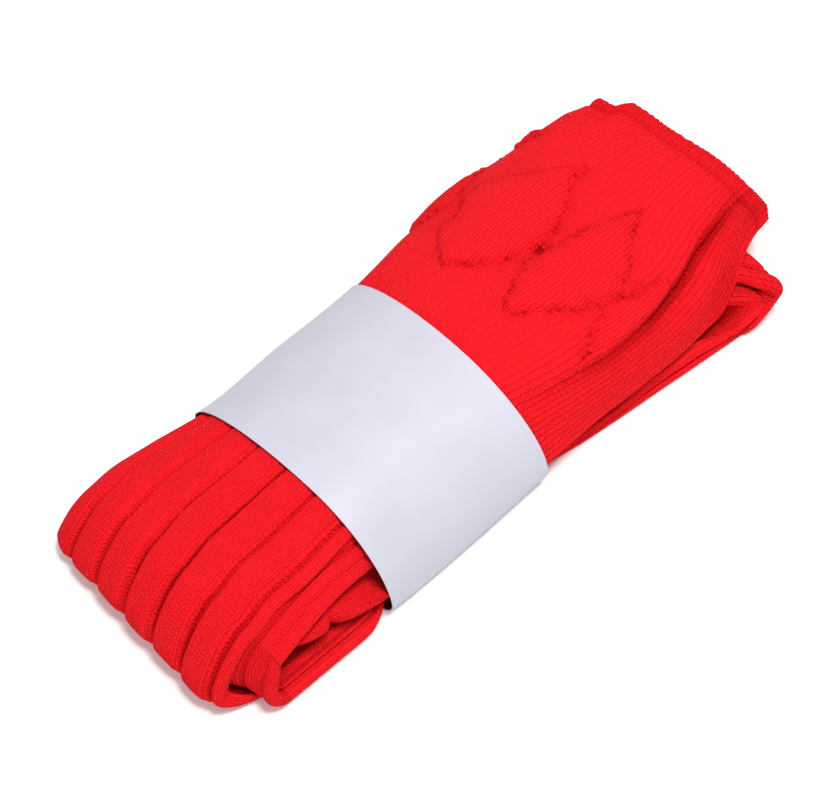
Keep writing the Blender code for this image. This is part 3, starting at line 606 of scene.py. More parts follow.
def rib_relief(across, spread):
    """(depth, purl, wale) over a leg: deep lines, each with a narrow wale and a fainter line
    on its +Y side. The spread widens and deepens them, row by row."""
    across = across[None, :]
    spread = spread[:, None]
    depth = np.full((len(spread), across.shape[1]), RIB_CROWN)
    purl = np.zeros(depth.shape)
    wale = np.zeros(depth.shape)
    for middle in np.arange(LEG_WIDTH - EDGE_STRIP, RIB_PITCH / 2, -RIB_PITCH):
        aside = across - middle
        line = bell(aside, np.where(aside < 0.0, RIB_CREST_SIDE, RIB_CRISP_SIDE) * spread)
        depth += RIB_SUNK * spread * line
        depth += SIDE_LINE_SUNK * spread * bell(aside + SIDE_WALE, SIDE_LINE_WIDTH)
        depth += SIDE_WALE_SUNK * bell(aside + SIDE_WALE / 2, SIDE_WALE_SPREAD)
        purl = np.maximum(purl, line ** 0.5)
        wale = np.maximum(wale, bell(aside + SIDE_WALE / 2 + WALE_SHIFT, WALE_WIDTH, 4))
        on_rib = ramp(aside - 0.5, RIB_PITCH - SIDE_WALE - 0.5)
        depth -= RIB_CROWN * np.sin(math.pi * on_rib) ** 0.6
    return depth, purl, wale


def spaced(start, *runs):
    """Stations from the start on, in even runs of (end, step), up to the last end."""
    places = []
    for end, step in runs:
        count = max(2, int(round(abs(end - start) / step)))
        places.extend(np.linspace(start, end, count, endpoint=False))
        start = end
    return places + [start]


def wall_columns(width, *runs):
    """Places across a wall: even runs of (from, to, count), and closer ones by both edges."""
    middle = [place for run in runs for place in np.linspace(*run)]
    return np.array([*EDGE_PLACES, *middle, *(width - e for e in EDGE_PLACES[::-1])])


# the dark red that painted shade mixes toward; the dye's random blotches mix toward it too
DEEP_RED = (0.26, 0.0, 0.0005, 1.0)
stitch_group = make_stitch_group()
red_knit = make_knit_material("red_knit", (0.88, 0.0120, 0.0190, 1.0))

across = wall_columns(LEG_WIDTH, (EDGE_END, LEG_WIDTH - EDGE_END, 166))
leg_upper_x = spaced(SEAM_X, (-60.0, 8.0), (NEAR_TURN_X, 0.9))
leg_lower_x = spaced(NEAR_TURN_X, (-98.0, 2.0), (-64.0, 1.7), (98.0, 5.0), (FAR_TURN_X, 2.0))
leg = leg_form(across / LEG_WIDTH, TOP_EDGE, "right_y", "reach", leg_upper_x, leg_lower_x,
               NEAR_STEPS)
leg = with_far_turn(leg, FAR_TURN_X, FAR_TURN_REACH, FAR_TURN_HEIGHT, FAR_TURN_RIGHT_Y,
                    FAR_FLARE, FAR_STEPS)
normal = grid_normals(leg)
along = row_lengths(leg)
turned_down = ramp(TURNED_DOWN_X - leg[:, TALLY, 0], TURNED_DOWN_RUN)
relief, purl, wale = rib_relief(across, 1.0 + 0.5 * turned_down)
on_floor = ramp(-normal[:, :, 2] - 0.75, 0.2)
sunk = relief * (1.0 - FLOOR_PRESS * on_floor)
wavy = unevenness(along[:, None], across[None, :]) * (1.0 - on_floor)
from_right = (LEG_WIDTH - across)[None, :]
near_share, far_share = turn_shares(leg, leg_upper_x, leg_lower_x, FAR_STEPS)
near_share = np.clip(near_share, 0.0, 1.0)
near_zone = np.abs(np.sin(math.pi * near_share)) ** np.where(near_share < 0.5, 2.0, 0.8)
near_zone = near_zone[:, None]
far_zone = eased(far_share - 0.15, 0.4)[:, None]
groove = bell(far_share - FAR_GROOVE_AT, FAR_GROOVE_WIDTH)[:, None]
groove = groove * (0.4 + 0.6 * bell(from_right, FAR_GROOVE_REACH))
thick = PLY + NEAR_ROLL * near_zone * bell(from_right, NEAR_ROLL_WIDTH)
thick = thick + FAR_ROLL * far_zone * bell(from_right, FAR_ROLL_WIDTH) * (1.0 - 0.8 * groove)
sink = edge_sink(np.minimum(across[None, :], from_right), thick)
curl = NEAR_CURL * near_zone * rounded(1.0 - ramp(from_right, NEAR_CURL_WIDTH))
outer = leg - normal * (sunk + wavy + sink + curl + FAR_GROOVE * groove)[:, :, None]
outer[:, :, 2] = np.maximum(outer[:, :, 2], 0.0)
inner = leg - normal * (thick - sink + curl + 0.8 * FAR_GROOVE * groove)[:, :, None]
far_lobe = ramp(along - along[-1] + LOBE_LENGTH, LOBE_RUN)
bold = np.maximum(far_lobe[:, None], wale)
# painted shade in the sunk rib lines, darker where the leg turns down
shade = RIB_SHADE * purl ** 3 * (0.5 + 0.5 * turned_down[:, None])
# painted shade on the inner side, starting in from the edge and further in round the far fold
inner_shade = 1.6 * eased(from_right - 1.0 - 3.0 * far_zone, 5.0)
sock_a_leg = knit_wall("sock_a_leg_knit", outer, inner, along, across, 0.6 * purl, bold, shade,
                       inner_shade, red_knit)
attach(sock_a_leg, "root")
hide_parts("sock_a_leg")


# The turn-over cuff of the top sock: wool, knitted on the leg in a leaf pattern. Puffed leaves
# of plain knitting are ringed by purl stitches, with bold wales between them, and a knobbly
# welt closes the edge. A long crease runs down its -Y side.
LEAF_RISE = 2.3
LEAVES = (                # the upper and the lower outline of each leaf, as (x, y)
    (((46, 66), (60, 78), (118, 78), (126, 52)),
     ((46, 65), (60, 57), (72, 54), (86, 57), (102, 60.5), (116, 57), (126, 51))),
    (((43, 30), (48, 37), (57, 45), (65, 44), (75, 49), (90, 46), (97, 39), (110, 29),
      (118, 21)),
     ((43, 29), (50, 19), (63, 9), (73, 5.5), (85, 6.7), (96, 12), (106, 18.6), (118, 20.5))),
    (((42, -7), (47, -3), (54, 0), (65, 3.6), (81, 0.5), (93, -2), (106, -6), (118, -10)),
     ((42, -8), (54.5, -17), (68, -27), (79, -32), (85, -31), (93, -27), (106, -17),
      (118, -10.5))),
    (((47, -46), (53, -42), (64, -36), (70, -34), (84, -34), (92, -35.5), (104, -37.5)),
     ((47, -48), (60, -60), (92, -60), (104, -40))),
)
LEAF_SOFT = 7.0           # how far from its outline a leaf reaches its full height
LEAF_RING = 1.0           # half of the width of the purl line round a leaf
LEAF_RING_SUNK = 1.5
LEAF_SPOTS = 2.7          # the spacing of the dark spots along it
LEAF_DRIFT = 0.24         # the share of a leaf's width by which the wales bow round it
LEAF_DRIFT_RUN = 9.0
LEAF_WOBBLE = ((0.45, 1.5, 1.0), (0.35, 0.7, 2.0))   # height, length and turn of two waves
# how dark the painted shade round the leaves is
LEAF_SHADE = 0.42
PIT_X, PIT_Y, PIT_DEPTH, PIT_WIDTH = 73.5, 4.4, 2.9, 2.6   # a small pit between two leaves
HEM_X = 160.0
HEM_ENDS = (1.3, 0.8, 0.4, 0.12, 0.0)       # the last rows' distances from the welt's edge
HEM_LINE_X = 153.0
HEM_LINE_WIDTH = 1.3
HEM_LINE_SUNK = 1.4
HEM_ROLL = 0.8
HEM_ROLL_X = 156.8
HEM_ROLL_WIDTH = 2.6
HEM_KNOB = 0.4
# how dark the painted shade in the welt's sunk line is
HEM_SHADE = 0.6
KNOB_PITCH = 3.9
BEAD_PITCH = 2.6
HEM_REACH = 4.0           # the welt stands out further toward the -Y side, up to its corner
HEM_REACH_FROM_Y = 20.0
HEM_REACH_RUN = 42.0
HEM_BLUNT_Y = -39.0
HEM_BLUNT_RUN = 6.5
HEM_CORNER = 6.5
HEM_CORNER_X = 130.0
HEM_CORNER_Y = 33.0
HEM_CORNER_RUN = 6.0
CREASE_WIDTH = 2.6
CREASE_STEP = 0.1
CREASE_INSIDE = 0.5
CREASE_DEEPEST = 4.5
CREASE_SHADE = 1.3        # how dark the painted shade along it is, and how wide
CREASE_SHADE_WIDTH = 1.9
SIDE_ROLL = 3.3           # the cloth beyond the crease stands out again in a soft roll
SIDE_ROLL_AWAY = 7.5
SIDE_ROLL_WIDTH = 4.4
CREASE_LIP = 1.5          # and a little before it
CREASE_LIP_AWAY = 5.5
CREASE_LIP_WIDTH = 3.0
CREASE = (
    ("x", "y", "depth"),
    (20, -38, 0.3), (45, -43.5, 1.6), (68, -47, 2.6), (80, -47, 3), (93, -46, 4.2),
    (103, -44, 4.5), (112.5, -42, 4.5), (127, -37, 4.4), (139.5, -34, 3.8),
    (149, -31.5, 2.4), (155, -31, 0.2),
)
CUFF_TOP_WIDTH = 102.0    # across the knitting from the +Y edge to the crease, and beyond it
CUFF_SIDE_WIDTH = 34.0
BOLD_FROM = 80.0          # across the knitting, where the wales get bold toward the crease
BOLD_RUN = 14.0
BOLD_FROM_X = 105.0       # and along it, toward the welt
BOLD_RUN_X = 30.0
SOFT_CREASES = (          # x, y, length along, width, depth and turn of soft troughs
    (38.0, 40.0, 26.0, 5.0, 0.9, -0.25),
    (34.0, 6.0, 22.0, 4.0, 0.8, 0.12),
    (36.0, -24.0, 26.0, 4.5, 0.9, 0.18),
    (124.0, 38.0, 18.0, 6.0, 0.8, -0.3),
    (131.0, 2.0, 20.0, 5.0, 0.5, 0.1),
)


def leaf_pattern(x, y):
    """(rise, ring, inside, painted hollow shade, drift) of the leaves at points across the
    cuff at x.
    """
    rise, ring, inside, painted_hollow_shade, drift = np.zeros((5, len(y)))
    for number, (upper, lower) in enumerate(LEAVES):
        first, last = upper[0][0], upper[-1][0]
        if not first - 2.0 < x < last + 2.0:
            continue
        wobble = sum(height * math.sin(x / length + turn * number)
                     for height, length, turn in LEAF_WOBBLE)
        high = float(smooth_between(x, *zip(*upper))) + wobble
        low = float(smooth_between(x, *zip(*lower))) - wobble
        half = max(0.0, (high - low) / 2 - wobble)
        from_middle = y - (high + low) / 2
        past = np.maximum(np.abs(from_middle) - half, 0.0)
        drift += LEAF_DRIFT * np.clip(from_middle, -half, half) * np.exp(-past / LEAF_DRIFT_RUN)
        within = np.minimum(high - y, y - low)
        within = np.minimum(within, min(x - first, last - x) * 1.2 + 0.5)
        soft = ramp(within, LEAF_SOFT)
        rise = np.maximum(rise, LEAF_RISE * np.sqrt(1.0 - (1.0 - soft) ** 2))
        place = (x + 0.35 * y) / LEAF_SPOTS + 0.4 * np.sin(x / 4.7 + y / 6.1 + number)
        spots = 0.5 + 0.5 * np.cos(2.0 * math.pi * place)
        uneven = np.sin(x / 2.9 + 1.7 * np.sin(y / 3.7 + number)) * np.sin(y / 2.3 + x / 6.1)
        spots = spots * np.clip(0.62 + 0.55 * uneven, 0.0, 1.0)
        ring = np.maximum(ring, spots * bell(within, LEAF_RING))
        inside = np.maximum(inside, ramp(within, 1.5))
        # painted shade round each leaf: a soft band, and dark spots along its purl line
        soft_line = bell(within, np.where(within > 0.0, 4.5, 3.0))
        spot_line = bell(within, 1.6) * spots
        painted_hollow_shade = np.maximum(painted_hollow_shade, soft_line * (0.40 + 0.25 * uneven) + 0.75 * spot_line)
    return np.array([rise, ring, inside, painted_hollow_shade, drift])


def soft_creases(x, y):
    """Shallow troughs in the cloth, each a long soft stroke."""
    depth = np.zeros(np.shape(y))
    for place_x, place_y, length, width, sunk, turn in SOFT_CREASES:
        run = (x - place_x) * math.cos(turn) + (y - place_y) * math.sin(turn)
        aside = (y - place_y) * math.cos(turn) - (x - place_x) * math.sin(turn)
        depth += sunk * np.exp(-(run / length) ** 2 - (aside / width) ** 2)
    return depth


def crease_bend(x, y, crease):
    """How far the long crease bends the cuff's wall inward."""
    if not CREASE[1][0] < x < CREASE[-1][0]:
        return np.zeros(len(y))
    aside = (y - crease["y"]) / CREASE_WIDTH
    above = np.exp(-aside ** 2)
    beyond = CREASE_STEP + (1.0 - CREASE_STEP) * np.exp(np.minimum(aside, 0.0))
    roll = bell(crease["y"] - y - SIDE_ROLL_AWAY, SIDE_ROLL_WIDTH)
    lip = bell(y - crease["y"] - CREASE_LIP_AWAY, CREASE_LIP_WIDTH)
    share = crease["depth"] / CREASE_DEEPEST
    bend = crease["depth"] * np.where(aside > 0.0, above, beyond)
    return bend - share * (SIDE_ROLL * roll + CREASE_LIP * lip)


cuff_x = spaced(SEAM_X + GAP, (12.0, 8.0), (HEM_X - 2.0, 0.8)) + [HEM_X - e for e in HEM_ENDS]
top_across = np.array([*EDGE_PLACES, *np.linspace(EDGE_END, CUFF_TOP_WIDTH, 122)])
side_across = np.array([*np.linspace(0.9, CUFF_SIDE_WIDTH - EDGE_END, 36),
                        *(CUFF_SIDE_WIDTH - e for e in EDGE_PLACES[::-1])])
across = np.concatenate([top_across, CUFF_TOP_WIDTH + side_across])
cuff_rows = []
for x in cuff_x:
    crease = table_row(CREASE, x)
    top = upper_section(x, top_across / CUFF_TOP_WIDTH, to_y=crease["y"])
    side = upper_section(x, side_across / CUFF_SIDE_WIDTH, from_y=crease["y"])
    section = np.concatenate([top, side])
    y = section[:, 0]
    rise, ring, inside, painted_hollow_shade, drift = leaf_pattern(x, y) * ramp(y - crease["y"] - 1.0, 3.0)
    # painted shade along the crease, as deep as the crease is
    painted_crease_shade = crease["depth"] / CREASE_DEEPEST * bell(y - crease["y"], CREASE_SHADE_WIDTH)
    cuff_rows.append((on_plane(x, section), crease_bend(x, y, crease),
                      rise - soft_creases(x, y), ring, inside, drift,
                      LEAF_SHADE * painted_hollow_shade + CREASE_SHADE * painted_crease_shade))
form, bend, lift, ring, inside, drift, painted_hollow_shade = map(np.array, zip(*cuff_rows))
place_x, place_y = form[:, :, 0], form[:, :, 1]
normal = grid_normals(form)
along = form[:, 0, 0] - form[0, 0, 0]
pit = np.exp(-((place_x - PIT_X) ** 2 + (place_y - PIT_Y) ** 2) / PIT_WIDTH ** 2)
lift = lift - ring * LEAF_RING_SUNK - PIT_DEPTH * pit
hem_line = bell(place_x - HEM_LINE_X, HEM_LINE_WIDTH)
hem_roll = bell(place_x - HEM_ROLL_X, HEM_ROLL_WIDTH)
shake = 2.6 * np.sin(across / 6.3) + 1.7 * np.sin(across / 3.7 + 1.0)
knobs = np.cos(2.0 * math.pi * across / KNOB_PITCH + shake)[None, :]
knobs = knobs * (0.75 + 0.25 * np.sin(across / 4.4 + 0.5))[None, :]
beads = 0.75 + 0.25 * np.cos(2.0 * math.pi * across / BEAD_PITCH + shake + 1.0)[None, :]
lift = lift - HEM_LINE_SUNK * hem_line * beads + hem_roll * (HEM_ROLL + 0.3 * knobs)
lift = lift - unevenness(along[:, None], across[None, :])
edge = np.minimum(across, across[-1] - across)[None, :]
hem_edge = (along[-1] - along)[:, None]
sink = edge_sink(np.minimum(edge, hem_edge))
outer = form - normal * (bend - lift + sink)[:, :, None]
inner = form - normal * (np.maximum(bend, 0.0) * CREASE_INSIDE + PLY - sink)[:, :, None]
near_hem = ramp(place_x - HEM_CORNER_X, HEM_X - HEM_CORNER_X)
set_back = HEM_CORNER * near_hem * eased(place_y - HEM_CORNER_Y, HEM_CORNER_RUN)
set_back = set_back + HEM_KNOB * (1.0 - knobs) * bell(hem_edge, 3.0) * 0.5
reach = eased(HEM_REACH_FROM_Y - place_y, HEM_REACH_RUN)
reach = reach * (1.0 - eased(HEM_BLUNT_Y - place_y, HEM_BLUNT_RUN))
set_back = set_back - HEM_REACH * near_hem * reach
for wall_side in (outer, inner):
    wall_side[:, :, 0] -= set_back
near_crease = ramp(across - BOLD_FROM, BOLD_RUN)[None, :]
near_end = ramp(place_x - BOLD_FROM_X, BOLD_RUN_X)
bold = (1.0 - inside) * (1.0 - ring) * (0.2 + 0.8 * np.maximum(near_crease, near_end * 0.6))
purl = np.maximum(np.maximum(ring, hem_roll * 0.6), 1.3 * pit)
# painted shade: round the leaves, along the crease and in the welt's sunk line
shade = painted_hollow_shade + HEM_SHADE * hem_line * beads
# painted shade on the cuff's inner side, starting a little in from its edges
sock_a_cuff = knit_wall("sock_a_cuff_knit", outer, inner, along, across, purl, bold, shade,
                        1.5 * eased(edge - 1.0, 5.0), red_knit, drift)
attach(sock_a_cuff, "root")
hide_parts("sock_a_cuff")


# The leg of the second sock, knitted as the first one, nested in it and set out beyond it on
# the -Y side. Its edge is a rounded tube of two plies, and its own turn at the far end is
# smaller.
SECOND_EDGE = (("x", "y"), (-122, -53), (-108, -51), (-91, -49.5), (-68, -48.5), (18, -48.5))
INNER_TURN_X = 121.0
INNER_TURN_REACH = 16.6
INNER_TURN_HEIGHT = 17.4
INNER_TURN_RIGHT_Y = -50.0
INNER_FLARE = 3.0
INNER_STEPS = 44
INNER_LOBE_LENGTH = 80.0
INNER_ROLL = 3.8          # its edge is rolled too, and thickest on the run back
INNER_RUN_ROLL = 4.2
INNER_RUN_WIDTH = 12.0
UNDER_ROLL = 4.0          # and along the floor under the cuff
UNDER_ROLL_FROM_X = 62.0
UNDER_ROLL_TO_X = 118.0
UNDER_ROLL_IN = 3.0
UNDER_ROLL_WIDTH = 4.6
RIM_SWELL = 2.7           # it is thicker round the near fold too, and under it up to the band
RIM_SWELL_WIDTH = 6.5
RIM_SWELL_TO_X = -71.0
RIM_SWELL_RUN = 9.0
RIM_LINE = 108.0          # across the knitting, the sunk line beside the rim
RIM_LINE_WIDTH = 0.9
SECOND_FLOOR = 0.3        # its clearance from the floor
SECOND_WIDTH = 122.0
RIM = (
    ("across", "raised"),
    (0, 0), (90, 0), (104, 0), (106.6, 0.2), (108, -0.7), (109.2, 0.5), (111, 1.35),
    (113.5, 1.4), (115.4, 0.3), (117, 1.4), (119.6, 1.3), (121, 0.7), (122, 0),
)
across = wall_columns(SECOND_WIDTH, (EDGE_END, 84.0, 24), (85.0, SECOND_WIDTH - EDGE_END, 50))
second_lower_x = [x for x in leg_lower_x if x < INNER_TURN_X - 0.5] + [INNER_TURN_X]
second = leg_form(across / SECOND_WIDTH, SECOND_EDGE, "under_right_y", "second_reach",
                  leg_upper_x, second_lower_x, NEAR_STEPS)
second = second - grid_normals(second) * (PLY + GAP)
second[-1, :, 0] = INNER_TURN_X
second = with_far_turn(second, INNER_TURN_X, INNER_TURN_REACH, INNER_TURN_HEIGHT,
                       INNER_TURN_RIGHT_Y, INNER_FLARE, INNER_STEPS)
normal = grid_normals(second)
along = row_lengths(second)
near_share, far_share = turn_shares(second, leg_upper_x, second_lower_x, INNER_STEPS)
before_far = far_share < 0.0
on_run = (near_share >= 1.0) * before_far
place_x = second[:, TALLY, 0]
from_right = (SECOND_WIDTH - across)[None, :]
fade = 1.0 - ramp(near_share * (NEAR_STEPS - 1), NEAR_STEPS - 2)
raised = table_row(RIM, across)["raised"][None, :] * fade[:, None]
far_zone = eased(far_share - 0.05, 0.4)[:, None]
back_zone = eased(far_share - 0.8, 0.25)[:, None]
under_zone = eased(place_x - UNDER_ROLL_FROM_X, 16.0) * eased(UNDER_ROLL_TO_X - place_x, 14.0)
under_zone = (under_zone * on_run)[:, None]
swell_zone = np.where(on_run, eased(RIM_SWELL_TO_X - place_x, RIM_SWELL_RUN), 1.0)
swell_zone = (swell_zone * eased(near_share + 0.1, 0.65) * before_far)[:, None]
thick = PLY + INNER_ROLL * far_zone * bell(from_right, FAR_ROLL_WIDTH)
thick = thick + INNER_RUN_ROLL * back_zone * bell(from_right, INNER_RUN_WIDTH)
thick = thick + UNDER_ROLL * under_zone * bell(from_right - UNDER_ROLL_IN, UNDER_ROLL_WIDTH)
swell = RIM_SWELL * swell_zone * bell(from_right, RIM_SWELL_WIDTH, 3)
sink = edge_sink(np.minimum(across[None, :], from_right), thick + swell)
outer = second + normal * (raised + swell - sink)[:, :, None]
outer[:, :, 2] = np.maximum(outer[:, :, 2], SECOND_FLOOR)
inner = second - normal * (thick - sink - np.maximum(raised, 0.0) * 0.3)[:, :, None]
bold = ramp(along - along[-1] + INNER_LOBE_LENGTH, LOBE_RUN)[:, None]
bold = bold * np.ones((1, len(across)))
purl = 0.5 * bell(across - RIM_LINE, RIM_LINE_WIDTH)[None, :] * np.ones(bold.shape)
# the sunk rim line gets painted shade as deep as its purl, and the inner side painted shade away from
# the rolled edge
sock_b_leg = knit_wall("sock_b_leg_knit", outer, inner, along, across, purl, bold, purl,
                       1.5 * eased(from_right - 6.0, 6.0), red_knit)
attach(sock_b_leg, "root")
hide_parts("sock_b_leg")


# The inner ply of the second sock's leg, of the same wool knitting. It lies folded inside the
# outer ply, and shows as a second rim in the open end of the near fold.
INNER_PLY = 2.6
PLY_FROM_X = -60.0
PLY_TO_X = -69.0
PLY_FROM = 0.86           # its shares of the way across the second leg
PLY_TO = 0.98
PLY_STEPS = 40
ply_width = (PLY_TO - PLY_FROM) * SECOND_WIDTH
across = wall_columns(ply_width, (EDGE_END, ply_width - EDGE_END, 13))
fractions = PLY_FROM + (PLY_TO - PLY_FROM) * across / ply_width
ply = leg_form(fractions, SECOND_EDGE, "under_right_y", "second_reach",
               spaced(PLY_FROM_X, (NEAR_TURN_X, 1.2)), spaced(NEAR_TURN_X, (PLY_TO_X, 1.2)),
               PLY_STEPS)
normal = grid_normals(ply)
along = row_lengths(ply)
sink = edge_sink(np.minimum(across, ply_width - across), INNER_PLY)[None, :]
outer = ply - normal * (2 * (PLY + GAP) + sink)[:, :, None]
inner = ply - normal * (2 * (PLY + GAP) + INNER_PLY - sink)[:, :, None]
plain = np.zeros(outer.shape[:2])
# a slightly darker copy of the red wool: painted shade for the parts tucked inside
shaded_tucked_knit = make_knit_material("tucked_red_knit", (0.83, 0.0100, 0.0165, 1.0))
sock_b_inner_ply = knit_wall("sock_b_inner_ply_knit", outer, inner, along, across, plain, plain,
                             plain, 0.0, shaded_tucked_knit)
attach(sock_b_inner_ply, "root")
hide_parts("sock_b_inner_ply")


# The tucked-in foot of the second sock: a flat pouch of plain wool knitting with a pinch in it.
# It is folded back into the leg, and shows in the open end of the near fold.
FOOT = (
    ("x", "out_y", "low_z", "high_z"),
    (-114, -46, 21, 23), (-107, -49, 18, 25), (-98, -50.5, 13.5, 27), (-92, -49.5, 11.5, 27),
    (-86, -52.3, 11, 27.5), (-77, -54.5, 10.5, 28), (-70, -55.6, 10, 28), (-64, -55.2, 10, 26),
    (-56, -48, 11.5, 18),
)
FOOT_IN_Y = -30.9
FOOT_FREE_Y = -43.0
FOOT_PINCH_X = -92.3
FOOT_PINCH = 1.8
FOOT_PINCH_WIDTH = 1.4
FOOT_RINGS = 60
FOOT_POINTS = 48
FOOT_SHOWN = (36.0, 58.0)     # the stretch that shows, across and along, pressed flat


def ring_solid(name, rings, purl, bold, material, row_length):
    """A closed piece through rings of points, each end closed by one face."""
    rings = np.asarray(rings, float)
    count, size = rings.shape[:2]
    points = rings.reshape(-1, 3)
    faces = grid_faces(count, size, closed=True)
    faces.append(tuple(reversed(range(size))))
    faces.append(tuple((count - 1) * size + j for j in range(size)))
    middle = rings[count // 2]
    faces = facing_out(points, faces, middle[0] - middle.mean(axis=0), (count // 2) * size)
    rows = row_length * np.arange(count) / (count - 1)
    knit = np.dstack([np.broadcast_to(rows[:, None], (count, size)),
                      np.broadcast_to(lengths_along(middle)[None, :], (count, size)),
                      np.zeros((count, size))])
    marks = [np.full(len(points), value) for value in (purl, bold, 0.0)]
    return place_mesh(name, points, faces, knit, marks, material)


rings = []
over = 2 * (PLY + GAP) + INNER_PLY + 2 * GAP
angles = math.pi * np.arange(FOOT_POINTS) / (FOOT_POINTS - 1)
for x in np.linspace(FOOT[1][0], FOOT[-1][0], FOOT_RINGS):
    place = table_row(FOOT, x)
    middle = (place["low_z"] + place["high_z"]) / 2
    half = (place["high_z"] - place["low_z"]) / 2
    depth = FOOT_IN_Y - place["out_y"] - FOOT_PINCH * bell(x - FOOT_PINCH_X, FOOT_PINCH_WIDTH)
    y = FOOT_IN_Y - depth * np.abs(np.sin(angles)) ** 0.5
    free = height_on(inset(upper_line(x), over), np.maximum(y, FOOT_FREE_Y))
    z = np.minimum(middle + half * np.cos(angles), free)
    rings.append(on_plane(x, np.column_stack([y, z])))
sock_b_foot = ring_solid("sock_b_foot_knit", rings, 0.0, 0.0, shaded_tucked_knit, FOOT_SHOWN[1])
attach(sock_b_foot, "root")
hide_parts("sock_b_foot")


# The hidden layers of both socks: their plies of wool lie loose on each other inside the fold,
# and only their rounded edges show between the upper and the lower run.
CORE = (
    ("x", "left_y", "right_y", "depth", "squash"),
    (-130.5, 36, -20, 8.8, 0.4), (-127.5, 43.5, -24, 8.4, 0.75), (-121, 54, -28, 7.8, 1),
    (-105, 59, -29.5, 7.7, 1), (-88, 59, -29.5, 7.7, 1), (-68, 57, -29.5, 7.7, 1),
    (-50, 57, -29.5, 7.7, 1), (-44, 57, -48, 7.7, 1), (-19.6, 57, -48, 7.7, 1),
    (-14, 57, -52, 4.8, 1), (19, 57, -53, 4.8, 1), (26, 57.5, -53, 4.8, 1),
    (50, 59, -54, 5.4, 1), (80, 59.5, -54.5, 6, 1), (104.4, 57, -53.5, 6, 1),
)
CORE_CLEARANCE = 0.5
CORE_CORNER_RISE = 4.0
CORE_CHAMFER = 10.0
CORE_STEP = 1.6
CORE_POINTS = 60
LAYERS = 3
LAYER_BULGE = 1.6
LAYER_STEPS = 7


def layered_edge(start, end, out):
    """Points along a stack of rounded layer edges, from one (u, v) to the other. The edges
    stand out along u, by LAYER_BULGE times the sign."""
    start = np.asarray(start, float)
    end = np.asarray(end, float)
    shares = np.linspace(0.0, 1.0, LAYERS * LAYER_STEPS + 1)
    bulge = LAYER_BULGE * np.abs(np.sin(math.pi * LAYERS * shares)) ** 0.5
    points = start + (end - start) * shares[:, None]
    points[:, 0] += bulge * out
    return list(points)


rings = []
shares = np.linspace(0.0, 1.0, CORE_POINTS)
low_z = 2 * (PLY + GAP) + CORE_CLEARANCE
core_x = []
for (start, *_), (end, *_) in zip(CORE[1:], CORE[2:]):
    core_x.extend(np.linspace(start, end, max(2, int((end - start) / CORE_STEP)),
                              endpoint=False))
for x in core_x + [CORE[-1][0]]:
    place = table_row(CORE, x, np.interp)
    top = inset(upper_section(max(x, NEAR_TURN_X), shares, place["left_y"],
                              place["right_y"]), place["depth"])
    low = low_z + floor_lift(x)
    middle = (top[:, 1].max() + low) / 2
    top[:, 1] = middle + (top[:, 1] - middle) * place["squash"]
    low = middle + (low - middle) * place["squash"]
    corner = low + CORE_CORNER_RISE
    left_y = top[0, 0] - LAYER_BULGE
    right = layered_edge(top[-1], (top[-1, 0], corner), -1.0)
    left = layered_edge((left_y, corner), (left_y, top[0, 1] - CORE_CLEARANCE), 1.0)
    under = [(top[-1, 0] + CORE_CHAMFER, low), (top[0, 0] - CORE_CHAMFER, low)]
    rings.append(on_plane(x, np.array([*top[:-1], *right, *under, *left])))
folded_layers = ring_solid("folded_layers_knit", rings, 0.0, 0.6, shaded_tucked_knit,
                           CORE[-1][0] - CORE[1][0])
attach(folded_layers, "root")
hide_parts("folded_layers")


# The under plies of both cuffs: a loose stack of rounded wool edges, tucked in under the open
# edge of the top one.
CUFF_LAYERS_DEPTH = 5.6
CUFF_LAYERS_FROM_X = 106.3
CUFF_LAYERS_END_X = 151.0
CUFF_LAYERS_LEFT_Y = 44.0
CUFF_LAYERS_RIGHT_Y = -35.0
low_z = FAR_TURN_HEIGHT + 2 * GAP
stations = np.linspace(CUFF_LAYERS_FROM_X, CUFF_LAYERS_END_X, 30)
lines = [inset(upper_line(x), CUFF_LAYERS_DEPTH) for x in stations]
rings = []
for y in np.linspace(CUFF_LAYERS_LEFT_Y, CUFF_LAYERS_RIGHT_Y, 80):
    top = [(x, float(height_on(line, y))) for x, line in zip(stations, lines)]
    far = layered_edge(top[-1], (stations[-1], low_z), 1.0)
    ring_points = top[:-1] + far + [(x, low_z) for x in stations[::-1][1:]]
    rings.append([(u, y, v) for u, v in ring_points])
cuff_layers = ring_solid("cuff_layers_knit", rings, 0.6, 0.0, shaded_tucked_knit,
                         CUFF_LAYERS_LEFT_Y - CUFF_LAYERS_RIGHT_Y)
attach(cuff_layers, "root")
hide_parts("cuff_layers")


# The paper band: a strip of smooth white card, bent round the folded pair and glued to itself
# under it.
BAND_CARD = 0.5
BAND_EASE = 0.8
BAND_CORNER = 9.0
BAND_COLUMNS = 120
BAND_CORNER_STEPS = 16
BAND_EDGE = (0.0, 0.15, 0.5)
INSIDE_PAINTED_SHADE = (0.09, 0.010, 0.012, 1.0)   # painted shade on the card's inside, tinted by painted red light from the socks


def band_loop(x):
    """(y, z) round the middle of the paper band at x."""
    over = upper_section(x, np.linspace(0.0, 1.0, BAND_COLUMNS))
    top = inset(over, -(BAND_EASE + BAND_CARD / 2))
    low = BAND_CARD / 2
    angles = np.linspace(0.0, math.pi / 2, BAND_CORNER_STEPS + 1)[1:]
    right, left = ([(y + sign * BAND_CORNER * (1.0 - math.cos(a)),
                     low + (height - low) * (1.0 - math.sin(a))) for a in angles]
                   for (y, height), sign in ((top[-1], 1.0), (top[0], -1.0)))
    under = [(float(y), low) for y in np.linspace(right[-1][0], left[-1][0], 12)[1:-1]]
    return np.array([*top, *right, *under, *left[::-1]])


